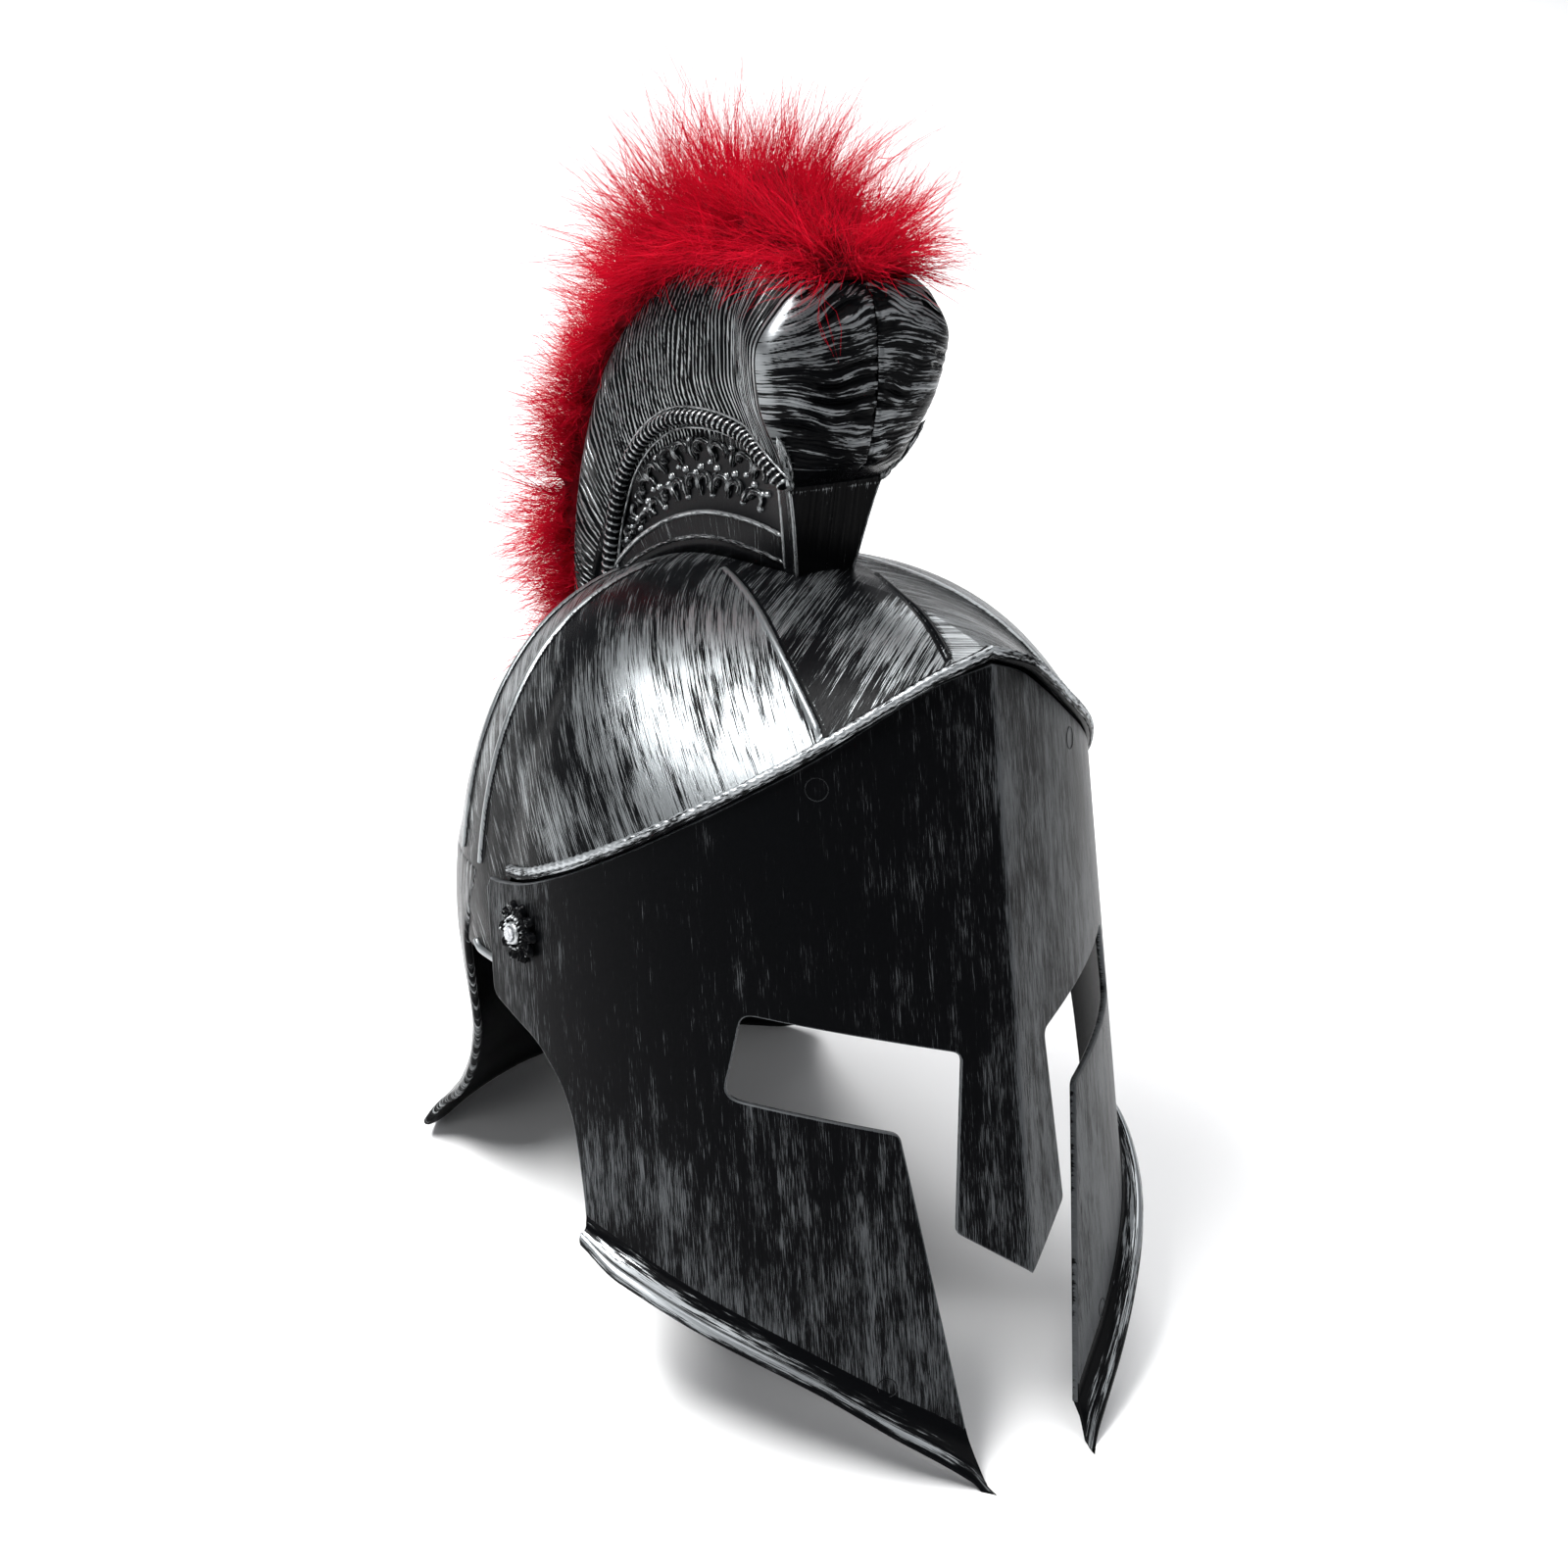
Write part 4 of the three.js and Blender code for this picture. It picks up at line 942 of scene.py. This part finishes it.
def crest_trim():
    """Rope, raised lines and ornament of one side."""
    b = Bag()
    y, z = rope_line(620)

    def over(y, z):
        """x of the plain side along a line of 620 points, from every tenth."""
        return np.interp(np.arange(620), np.arange(620)[::10], side_x(y[::10], z[::10], True))

    # two strands laid round each other; the silver follows their crowns
    lay = 2 * math.pi / 2.5
    twist = lambda s, a: 0.34 * np.sin(a - s * lay) - 0.25 * (np.abs(np.sin(a / 2 - s * lay / 2)) < 0.3)
    V, F, st = tube(xyz(over(y, z) - 1.0, y, z), 2.15, 14, up=SIDEWAYS, twist=twist)
    b.add(V, F, st, 0.6 * np.sin(st[:, 0] / 1.5 - st[:, 1] * lay))
    # thin raised lines: under the rope and along the arch band
    for off, r, lift in ((-3.1, 0.45, 0.1), (3.0, 0.4, 0.2)):
        d = unit(xyz(y - C_Y, z - C_Z))
        yy, zz = y + d[:, 0] * off, z + d[:, 1] * off
        b.bar(xyz(over(yy, zz) - lift, yy, zz)[::2], r, 8, 0.35, up=SIDEWAYS)
    s, v = np.linspace(0.055, 0.93, 300), np.linspace(0.0, 0.315, 60)
    for s0, v0, r, lift, tone_and_painted_light in (
        (s, 0.115 + 0 * s, 0.75, 0.15, 0.4),  # over and under the panel's foot band
        (s, 0.02 + 0 * s, 0.7, 0.05, 0.2),
        (0.003 + 0 * v, v, 0.55, 0.1, 0.45),  # the front strip's edges
        (0.05 + 0 * v, v, 0.5, 0.1, 0.45),
    ):
        p = yz(s0, v0)
        b.bar(xyz(-half_width(s0, v0) - lift, p[:, 0], p[:, 1]), r, 8, tone_and_painted_light, up=SIDEWAYS)
    # the small flame over the front strip
    for (y0, z0), (y1, z1), r in (((88.5, 209), (83.5, 224), 1.5), ((90.8, 206.5), (89.6, 211.0), 1.3)):
        t = np.linspace(0, 1, 24)
        y, z = lerp(y0, y1, t), lerp(z0, z1, t)
        b.bar(xyz(side_x(y, z), y, z), r * np.sin(math.pi * np.clip(t, 0.03, 0.97)) ** 0.7, 10, 0.4, up=SIDEWAYS)
    return ornament(b)


def ornament(b):
    """Adds scrolls, leaves and beads in the panel between the arch band and the rope."""

    # lower and upper edge of the panel in polar terms about the arch's centre
    def polar(y, z):
        return np.arctan2(y - C_Y, z - C_Z), np.hypot(y - C_Y, z - C_Z)

    foot, head = polar(*yz(np.linspace(0, 1, 400), 0.135 + np.zeros(400)).T), polar(*rope_line(400))
    bot = lambda a: np.interp(a, *foot) + 1.0
    top = lambda a: np.interp(a, *head) - 4.0

    def pt(a, k):
        """Side view point at angle a and share k of the panel's height."""
        rad = lerp(bot(a), top(a), k)
        return C_Y + np.sin(a) * rad, C_Z + np.cos(a) * rad

    def bar(a, k, r):
        y, z = pt(a, k)
        x = np.convolve(np.pad(side_x(y, z), 3, "edge"), np.ones(7) / 7, "valid")
        part.bar(xyz(x - 0.3, y, z), r, 8, 0.2, up=SIDEWAYS)

    def bead(a, k, r):
        y, z = pt(np.array([a]), np.array([k]))
        x = float(side_x(y, z)[0])
        th, ph = np.meshgrid(np.linspace(0.01, math.pi / 2, 6), np.arange(12) / 12 * 2 * math.pi, indexing="ij")
        V = xyz(x - r * np.cos(th) * 1.15 + 0.1, y[0] + r * np.sin(th) * np.cos(ph), z[0] + r * np.sin(th) * np.sin(ph))
        i = np.arange(12)
        F = [gridfaces(6, 12, True), i[None], np.stack([i + 60, np.full(12, 72), (i + 1) % 12 + 60], 1)]
        part.add(np.vstack([V.reshape(-1, 3), [[x + 0.4, y[0], z[0]]]]), F, None, 0.7)

    part = Bag()
    t = np.linspace(0, 1, 26)
    k, a = 0, np.radians(-41)
    while a < np.radians(88):
        R = float(lerp(bot(a), top(a), 0.5))
        wide = float(top(a) - bot(a))
        if wide > 3.5:
            sg = 1 if k % 2 else -1
            # two rows of curling scrolls, leaves between them, and beads
            for row in (0.27, 0.74):
                hand = sg if row < 0.5 else -sg
                th, rad = lerp(-0.9, 3.9, t), lerp(0.25, 0.07, t)
                thick_ = lerp(0.8, 1.25, t) * np.minimum(1, t * 6 + 0.3)
                bar(a + (2.6 + wide * rad * np.cos(th) * hand * 0.95) / R, row + rad * np.sin(th) * 0.8, thick_)
                leaf = 5.6 + 1.1 * t + 0.5 * np.sin(3 * t)
                bar(a + leaf / R, row + lerp(-0.17, 0.17, t) * hand, 0.3 + np.sin(math.pi * t) ** 0.8)
            for along, up, r in ((5.0, 0, 1.15), (0.2, 0.07, 0.95), (7.2, 0.38, 1.0)):
                bead(a + along / R, 0.5 + sg * up, r)
        k += 1
        a += np.radians(12.4)
    # beads down the front strip's side
    for k in (0.14, 0.5, 0.84):
        bead(np.radians(-43.2), k, 1.2)
    return b.add(np.vstack(part.V), part.F, np.vstack(part.S), np.concatenate(part.W))


# ---------- rosettes ----------
PIN_Y, PIN_Z = 110.5, 88.5
PIN_X = -(MW * float(spread(PIN_Z)) + 0.2)
around = lambda n: np.arange(n) / n * 2 * math.pi


def rosette():
    """One petalled rosette about the pin, facing the wearer's right."""
    rr = np.concatenate([[0.05], np.linspace(0.6, 9.0, 40)])
    aa = around(216)
    Rr, A = np.meshgrid(rr, aa, indexing="ij")
    pet = np.abs(np.cos(5 * A))
    lobe = 1 - 0.34 * (1 - pet**0.8)
    u = Rr / 9.0
    R = np.where(u > 0.45, Rr * lerp(1, lobe, smooth(0.45, 1, u)), Rr)
    bump = lambda x, mid, wide: np.exp(-(((x - mid) / wide) ** 2))
    h = 1.0 * pet**1.4 - 0.5 - 0.55 * bump(pet, 0.985, 0.03) + 0.6 * bump(u, 0.9, 0.07) * pet
    h = 1.0 + smooth(4.9, 5.8, Rr) * h
    h = h + 1.5 * bump(Rr, 4.5, 0.5) * (0.7 + 0.3 * np.cos(20 * A)) + 1.9 * smooth(3.6, 2.9, Rr)
    h = h - 1.0 * smooth(2.35, 1.95, Rr)
    h = h * (1 - 0.75 * smooth(8.2, 9.0, Rr))
    back = xyz(PIN_X + 0.25, PIN_Y + R[-1] * np.cos(aa), PIN_Z + R[-1] * np.sin(aa))
    V = xyz(PIN_X - h, PIN_Y + R * np.cos(A), PIN_Z + R * np.sin(A))
    V = np.vstack([V, back[None]])
    tone_and_painted_light = np.vstack([0.5 * (h - 1.15), np.full((1, 216), -0.3)])
    b = Bag().add(V, [gridfaces(42, 216, True), np.arange(216)[None]], xyz(V[..., 1], V[..., 2], 0), tone_and_painted_light)
    return b.bar(xyz(np.linspace(PIN_X + 0.2, PIN_X + 8, 12), PIN_Y, PIN_Z), 1.6, 16, -0.5)


def gem():
    """The faceted stone in the rosette."""
    V = []
    for j, (r, h) in enumerate([(0.02, 0), (1.1, 0), (2.05, 1.15), (1.9, 1.45), (1.25, 2.0), (0.02, 2.0)]):
        a = (np.arange(12) + 0.5 * (j % 2)) / 12 * 2 * math.pi
        V.append(xyz(PIN_X - 2.15 - h, PIN_Y + r * np.cos(a), PIN_Z + r * np.sin(a)))
    return Bag().add(V, [gridfaces(6, 12, True), np.arange(12)[None], np.arange(12)[None] + 60])


# ---------- feather strip ----------
plume_h = curve([[0, 27], [0.1, 30], [0.2, 36], [0.3, 37], [0.45, 28], [0.6, 25], [0.8, 29], [1, 31]])
plume_w = curve([[0, 28], [0.15, 28], [0.5, 22], [1, 20]])
FARTHEST = (0.1722, 0.3572)  # metres back and up in the row frame


def strip_frame(u):
    """Point, direction and outward normal of the quill at shares u of its length."""
    s = np.asarray(u) * 0.985
    p = at(STRIP, s)
    t = unit(at(STRIP, np.minimum(1, s + 0.004)) - at(STRIP, np.maximum(0, s - 0.004)))
    n = xyz(-t[:, 1], t[:, 0])
    n *= np.where((n * (p - np.array([C_Y, C_Z]))).sum(1) < 0, -1, 1)[:, None]
    return p, t, n


def plume_ends(u):
    """Share of the full height, less near both ends."""
    rise = lambda low, x: np.minimum(1, low + (1 - low) * np.sqrt(np.clip(x / 0.12, 0, 1)))
    return rise(0.45, u) * rise(0.4, 1 - u)


def plume_core():
    """The dense down close to the quill."""
    nu, na = 210, 90
    u = np.linspace(0, 1, nu)
    p, _, n = strip_frame(u)
    e = plume_ends(u)
    a = np.linspace(-0.12, math.pi + 0.12, na)
    U, A = np.meshgrid(u, a, indexing="ij")
    tuft = 0.54 + 0.504 * (fbm(U * 34, A * 4, 51) - 0.5) + 0.16 * (noise(U * 150, A * 22, 54) - 0.5)
    h = (plume_h(u) * e)[:, None] * tuft
    w = (plume_w(u) * lerp(0.7, 1, e))[:, None] * (tuft * 0.98)
    o = 1.0 + np.maximum(-0.5, np.sin(A)) * (h - 1.0)
    V = xyz(np.cos(A) * w, p[:, :1] + n[:, :1] * o, p[:, 1:] + n[:, 1:] * o)
    end = np.arange(na)[None]
    F = [gridfaces(nu, na, True), end, end + (nu - 1) * na]
    # painted shade: the down is darker in the hollows between its tufts
    return Bag().add(V, F, None, np.clip(0.1 + 0.5 * (tuft - 0.5), 0, 1))


def plume_strands(clumps, per, seed, reach, loose):
    """Curved clumps of fine barbs; each strand is a thin tapering ribbon."""
    r = np.random.default_rng(seed)
    u = r.uniform(0, 1, clumps) ** 0.97
    p, t, n = strip_frame(u)
    e = plume_ends(u)
    al = np.clip(r.normal(0, 1.0, clumps), -1.75, 1.75)  # angle from the outward normal
    tuft = lerp(0.76, 1.3, smooth(0.2, 0.8, noise(u * 24, al * 1.4, 61)))
    h = plume_h(u) * e * reach * r.uniform(0.78, 1.12, clumps) * tuft
    w = plume_w(u) * lerp(0.7, 1, e) * reach * r.uniform(0.78, 1.1, clumps) * tuft
    side, out = np.sin(al), np.cos(al)
    length = np.hypot(side * w, np.maximum(out, 0) * h) + 2
    N3, T3 = xyz(0, *n.T), xyz(0, *t.T)
    base = xyz(side * 6.0, p[:, 0] + n[:, 0] * 2, p[:, 1] + n[:, 1] * 2)
    along = r.normal(0, 0.3, clumps) + 1.5 * (noise(u * 17, al * 1.2, 62) - 0.5)
    along = along - 1.1 * np.clip(1 - u / 0.05, 0, 1) * r.uniform(0, 1, clumps)
    along = along + 0.5 * np.clip((u - 0.95) / 0.05, 0, 1)
    d0 = unit(N3 * np.maximum(out, 0.02)[:, None] + SIDEWAYS * side[:, None] + T3 * along[:, None])
    curl = r.normal(0, 0.42, (clumps, 3)) + np.array([0, 0.02, -0.12])
    # strands
    m = clumps * per
    k = np.repeat(np.arange(clumps), per)
    rough = r.normal(0, 1, (m, 3))
    q = 5
    tt = np.linspace(0, 1, q)[None, :, None]
    wide = r.uniform(2.2, 5.0, clumps)[k]
    st0 = r.uniform(0.0, 0.62, m)[:, None, None]  # where the strand leaves the clump's stem
    L = (length[k] * r.uniform(0.8, 1.1, m))[:, None, None]
    stem = lambda x: base[k][:, None] + d0[k][:, None] * L * x + curl[k][:, None] * L * x * x * 0.55
    x = st0 + (1 - st0) * tt
    fan = lerp(np.sin(math.pi * tt * 0.85) * (1 - 0.4 * tt), tt**0.8 * (1 - 0.15 * tt), loose)
    P = stem(x) + rough[:, None] * (wide[:, None, None] * fan)
    P = P + rough[:, None, ::-1] * (0.5 + 0.5 * loose) * np.sin(tt * 6 + rough[:, None, :1] * 3)
    # strands that would pass the part's bounds at the back and top are shortened, by uneven amounts
    G, lim = place(P)[..., 1:], np.array([FARTHEST]) - r.uniform(0, 0.014, (m, 1)) * r.uniform(0, 1, (m, 1))
    cut = np.clip((lim - G[:, 0]) / np.maximum(G.max(1) - G[:, 0], 1e-6), 0.05, 1).min(1)
    P = P[:, :1] + (P - P[:, :1]) * cut[:, None, None]
    D = np.gradient(P, axis=1)
    sidev = unit(np.cross(D, unit(r.normal(0, 1, (m, 1, 3)))))
    wid = (0.2 * (1 - tt) ** 0.7 + 0.03) * r.uniform(0.7, 1.3, (m, 1, 1))
    A, B = P + sidev * wid * 0.5, P - sidev * wid * 0.5
    V = np.stack([A, B], 2).reshape(m, q * 2, 3)
    f = np.array([[2 * j, 2 * j + 1, 2 * j + 3, 2 * j + 2] for j in range(q - 1)])
    F = (f[None] + (np.arange(m) * q * 2)[:, None, None]).reshape(-1, 4)
    # random tone per clump and strand, with painted shade: each strand is darker at its base deep in the plume and
    # lighter at its tip
    strand_tone_and_shade = r.normal(0.5, 0.16, clumps)[k][:, None] + lerp(-0.25, 0.25, x[..., 0])
    strand_tone_and_shade = np.clip(strand_tone_and_shade + r.normal(0, 0.08, m)[:, None], 0, 1)
    b = Bag()
    b.V, b.F, b.n, b.N = [V.reshape(-1, 3)], [F], m * q * 2, [None]
    b.S, b.W = [np.zeros((m * q * 2, 3))], [np.repeat(strand_tone_and_shade, 2, axis=1).ravel()]
    return b


# ---------- materials ----------
class Nodes:
    """A material and short names for its nodes."""

    def __init__(self, name):
        self.mat = bpy.data.materials.new(name)
        self.mat.use_nodes = True
        self.t = self.mat.node_tree
        self.t.nodes.clear()
        self.out = self.t.nodes.new("ShaderNodeOutputMaterial")

    def new(self, kind, _in=None, **props):
        n = self.t.nodes.new("ShaderNode" + kind)
        for k, v in props.items():
            setattr(n, k, v)
        for k, v in (_in or {}).items():
            if hasattr(v, "is_output"):
                self.t.links.new(v, n.inputs[k])
            else:
                n.inputs[k].default_value = v
        return n

    def math(self, op, a, b):
        return self.new("Math", {0: a, 1: b}, operation=op).outputs[0]

    def total(self, first, *terms):
        """The first value plus each further value times its factor."""
        for v, k in terms:
            first = self.math("ADD", first, self.math("MULTIPLY", v, k))
        return first

    def ramp(self, v, a, b, lo=0.0, hi=1.0):
        ends = {"Value": v, "From Min": a, "From Max": b, "To Min": lo, "To Max": hi}
        return self.new("MapRange", ends, interpolation_type="SMOOTHSTEP").outputs[0]

    def mix(self, f, a, b):
        return self.new("Mix", {0: f, 6: a, 7: b}, data_type="RGBA").outputs[2]

    def attr(self, name, kind):
        return self.new("Attribute", attribute_name=name).outputs[kind]

    def streak(self, vec, w, l, detail, rough, rot=0.0, shift=0.0):
        """Noise stretched to streaks w wide and l long."""
        place_ = {"Vector": vec, "Rotation": (0, 0, rot), "Scale": (1 / w, 1 / l, 1), "Location": (shift, shift, 0)}
        m = self.new("Mapping", place_).outputs[0]
        return self.new("TexNoise", {"Vector": m, "Scale": 1.0, "Detail": detail, "Roughness": rough}).outputs[0]

    def done(self, shader):
        self.t.links.new(shader.outputs[0], self.out.inputs[0])
        return self.mat


DARK = (0.002, 0.0022, 0.0026, 1)


def plastic(
    name, cover, width, length, silver, rough=(0.27, 0.36), bump=0.12, metal=0.85, haze=0.5, cross=0.0, blots=1.0
):
    """Black semi-gloss plastic dry-brushed with silver: cover says how much, the strokes are width by length mm."""
    n = Nodes(name)
    st, tone_and_painted_light = n.attr("st", "Vector"), n.attr("tone_and_painted_light", "Fac")
    f1 = n.streak(st, width, length, 5, 0.62)
    f2 = n.streak(st, width * 0.33, length * 0.7, 3, 0.6, 0.06, 7.3)
    f3 = n.streak(st, width * 0.5, length * 0.45, 3, 0.6, -0.55 if cross else 0.12, 3.1)
    blot = n.streak(st, 26, 34, 3, 0.55, 0.2, 1.7)
    patch = n.streak(st, 3.2, 34, 3, 0.55, 0, 5.7)
    v = n.total(n.math("MULTIPLY", f1, 0.85), (f2, 0.5), (f3, 0.25 + cross))
    v = n.math("DIVIDE", v, 1.6 + cross)
    v = n.total(v, *((n.math("SUBTRACT", q, 0.5), 0.26 * blots) for q in (blot, patch)), (tone_and_painted_light, 0.32))
    v = n.math("ADD", v, cover)
    strong, soft = n.ramp(v, 0.505, 0.55), n.ramp(v, 0.45, 0.66)
    # a value of -1 marks faces that were never brushed
    amount = n.total(n.math("MULTIPLY", strong, 1 - haze * 0.5), (soft, haze * 0.5))
    amount = n.math("MULTIPLY", amount, n.ramp(tone_and_painted_light, -0.95, -0.8))
    dull, bright = [c * k for c, k in zip(silver, (0.55, 0.55, 0.56))], [min(1, c * 1.35) for c in silver]
    look = {
        "Base Color": n.mix(amount, DARK, n.mix(f2, (*dull, 1), (*bright, 1))),
        "Metallic": n.math("MULTIPLY", amount, metal),
        "Roughness": n.ramp(amount, 0, 1, *rough),
        "Specular IOR Level": 0.035,
    }
    height = n.total(n.math("MULTIPLY", f1, 0.5), (f2, 0.5), (amount, 0.3))
    look["Normal"] = n.new("Bump", {"Strength": bump, "Distance": 0.0006, "Height": height}).outputs[0]
    return n.done(n.new("BsdfPrincipled", look))


def feathers(name, deep, bright):
    """Red down that lets some light through."""
    n = Nodes(name)
    col = n.mix(n.attr("tone_and_painted_light", "Fac"), deep, bright)
    look = {"Base Color": col, "Roughness": 0.7, "Specular IOR Level": 0.08}
    look.update({"Sheen Weight": 0.08, "Sheen Roughness": 0.4, "Sheen Tint": (1, 0.25, 0.3, 1)})
    p, tr = n.new("BsdfPrincipled", look), n.new("BsdfTranslucent", {"Color": col})
    return n.done(n.new("MixShader", {0: 0.38, 1: p.outputs[0], 2: tr.outputs[0]}))


def simple(name, **look):
    n = Nodes(name)
    return n.done(n.new("BsdfPrincipled", {k.replace("_", " "): v for k, v in look.items()}))


M_DOME = plastic(
    "skull plastic", 0.005, 0.36, 17, (0.24, 0.255, 0.26), (0.21, 0.30), haze=0.2, bump=0.2, cross=0.2
)
M_GUARD = plastic("neck guard plastic", -0.03, 0.5, 15, (0.22, 0.23, 0.235))
M_CORD = plastic("edge plastic", -0.05, 0.8, 5, (0.38, 0.40, 0.41), bump=0.2)
M_MASK = plastic("face guard plastic", -0.045, 0.27, 9, (0.085, 0.09, 0.094), (0.30, 0.42), bump=0.14, metal=0.6)
M_LIP = plastic("lip plastic", -0.12, 0.6, 12, (0.36, 0.38, 0.39), (0.2, 0.3))
M_CREST = plastic("crest plastic", -0.055, 0.8, 30, (0.27, 0.285, 0.29), (0.22, 0.3), haze=0.2, blots=0.35)
M_BRUSH = plastic("crest front plastic", -0.05, 0.5, 7, (0.2, 0.21, 0.215), (0.24, 0.32), bump=0.15)
M_TRIM = plastic("crest trim plastic", -0.09, 0.7, 3, (0.34, 0.355, 0.36), (0.18, 0.26), bump=0.15)
M_ROSE = plastic("rosette plastic", -0.13, 0.9, 3, (0.36, 0.375, 0.38), (0.18, 0.28), bump=0.1)
# the down's reds are darker than the barbs': painted shade of the plume's dense inside
M_DOWN = feathers("feather down", (0.10, 0.0, 0.004, 1), (0.36, 0.001, 0.01, 1))
M_BARB = feathers("feather barbs", (0.26, 0.0, 0.008, 1), (0.66, 0.004, 0.025, 1))
M_GEM = simple("clear stone", Base_Color=(0.95, 0.97, 1, 1), Roughness=0.03, IOR=1.55, Transmission_Weight=0.75)


# ---------- pieces ----------
piece("skull_dome", skull_dome(), M_DOME, "skull", "skull")
piece("skull_neck_guard", neck_guard(), M_GUARD, "skull", "neck_guard", floor_cut=True)
piece("skull_ear_tabs", ear_tab(), M_GUARD, "skull")
piece("skull_brow_cord", brow_cord(), M_CORD, "skull")
piece("skull_ribs", ribs(), M_DOME, "skull")
piece("face_guard_shell", face_guard(), M_MASK, "face_guard", "face_guard")
piece("face_guard_lip", lip(), M_LIP, "face_guard", sharp=50, floor_cut=True)
piece("face_guard_ring_marks", ring_marks(), M_MASK, "face_guard")
side, trim, rose, stone = crest_side(), crest_trim(), rosette(), gem()
for hand, f, k in (("right", lambda b: b, 0), ("left", flipped, 40)):
    piece("crest_side_" + hand, f(side), M_CREST, "crest_shell", "crest_shell_" + hand)
    piece("crest_front_" + hand, f(crest_front(k)), M_BRUSH, "crest_shell")
    piece("crest_trim_" + hand, f(trim), M_TRIM, "crest_shell")
    piece("rosette_flower_" + hand, f(rose), M_ROSE, "rosette", "rosette_" + hand)
    piece("rosette_stone_" + hand, f(stone), M_GEM, "gem", "gem_" + hand, sharp=12)
piece("plume_down", plume_core(), M_DOWN, "plume", "plume")
share = 0.63  # of the clumps of each layer
for name, clumps, per, seed, reach, loose in (
    ("fluff", 2000, 9, 20, 0.72, 1.0),
    ("barbs_inner", 2100, 9, 21, 0.88, 0.85),
    ("barbs_outer", 1900, 9, 22, 1.0, 0.6),
    ("wisps", 520, 5, 23, 1.34, 0.15),
):
    piece("plume_" + name, plume_strands(int(clumps * share), per, seed, reach, loose), M_BARB, "plume")

# ---------- floor, light, camera ----------
me = bpy.data.meshes.new("floor")
me.from_pydata([(-6, -6, 0), (6, -6, 0), (6, 6, 0), (-6, 6, 0)], [], [(0, 1, 2, 3)])
me.materials.append(simple("floor", Base_Color=(0.93, 0.93, 0.93, 1), Roughness=0.7))
fo = bpy.data.objects.new("floor", me)
bpy.context.scene.collection.objects.link(fo)

world = bpy.data.worlds.new("studio")
world.use_nodes = True
for k, v in enumerate(((0.93, 0.95, 1.0, 1), 0.3)):
    world.node_tree.nodes["Background"].inputs[k].default_value = v
bpy.context.scene.world = world
bpy.context.scene.view_settings.view_transform = "Standard"


def area(name, loc, target, size, power, size_y=None):
    """Area light at loc turned to its target."""
    L = bpy.data.lights.new(name, "AREA")
    L.energy = power
    L.size = size
    if size_y:
        L.shape = "RECTANGLE"
        L.size_y = size_y
    o = bpy.data.objects.new(name, L)
    o.location = loc
    o.rotation_euler = (Vector(target) - Vector(loc)).to_track_quat("-Z", "Y").to_euler()
    bpy.context.scene.collection.objects.link(o)


area("key", (-0.74, 0.30, 1.38), (-0.05, 0, 0.2), 1.05, 42, 0.34)
area("left", (-1.5, -0.7, 1.1), (0, 0, 0.15), 0.6, 4)
area("fill", (1.4, -1.3, 1.0), (0, 0, 0.15), 1.2, 5)
area("top", (0.5, 0.3, 2.0), (0, 0, 0.15), 1.4, 16)
area("back", (1.6, 2.2, 2.2), (1.3, 1.7, 0), 1.6, 60)

cam = bpy.data.cameras.new("camera")
cam.lens = 60.75
cam.sensor_width = 36
co = bpy.data.objects.new("camera", cam)
R = Matrix(((0.80266, 0.16138, -0.57421), (-0.57998, 0.43592, -0.68820), (0.13924, 0.88540, 0.44350))).to_4x4()
co.matrix_world = Matrix.Translation((-0.4742, -0.5573, 0.5122)) @ R
bpy.context.scene.collection.objects.link(co)
bpy.context.scene.camera = co
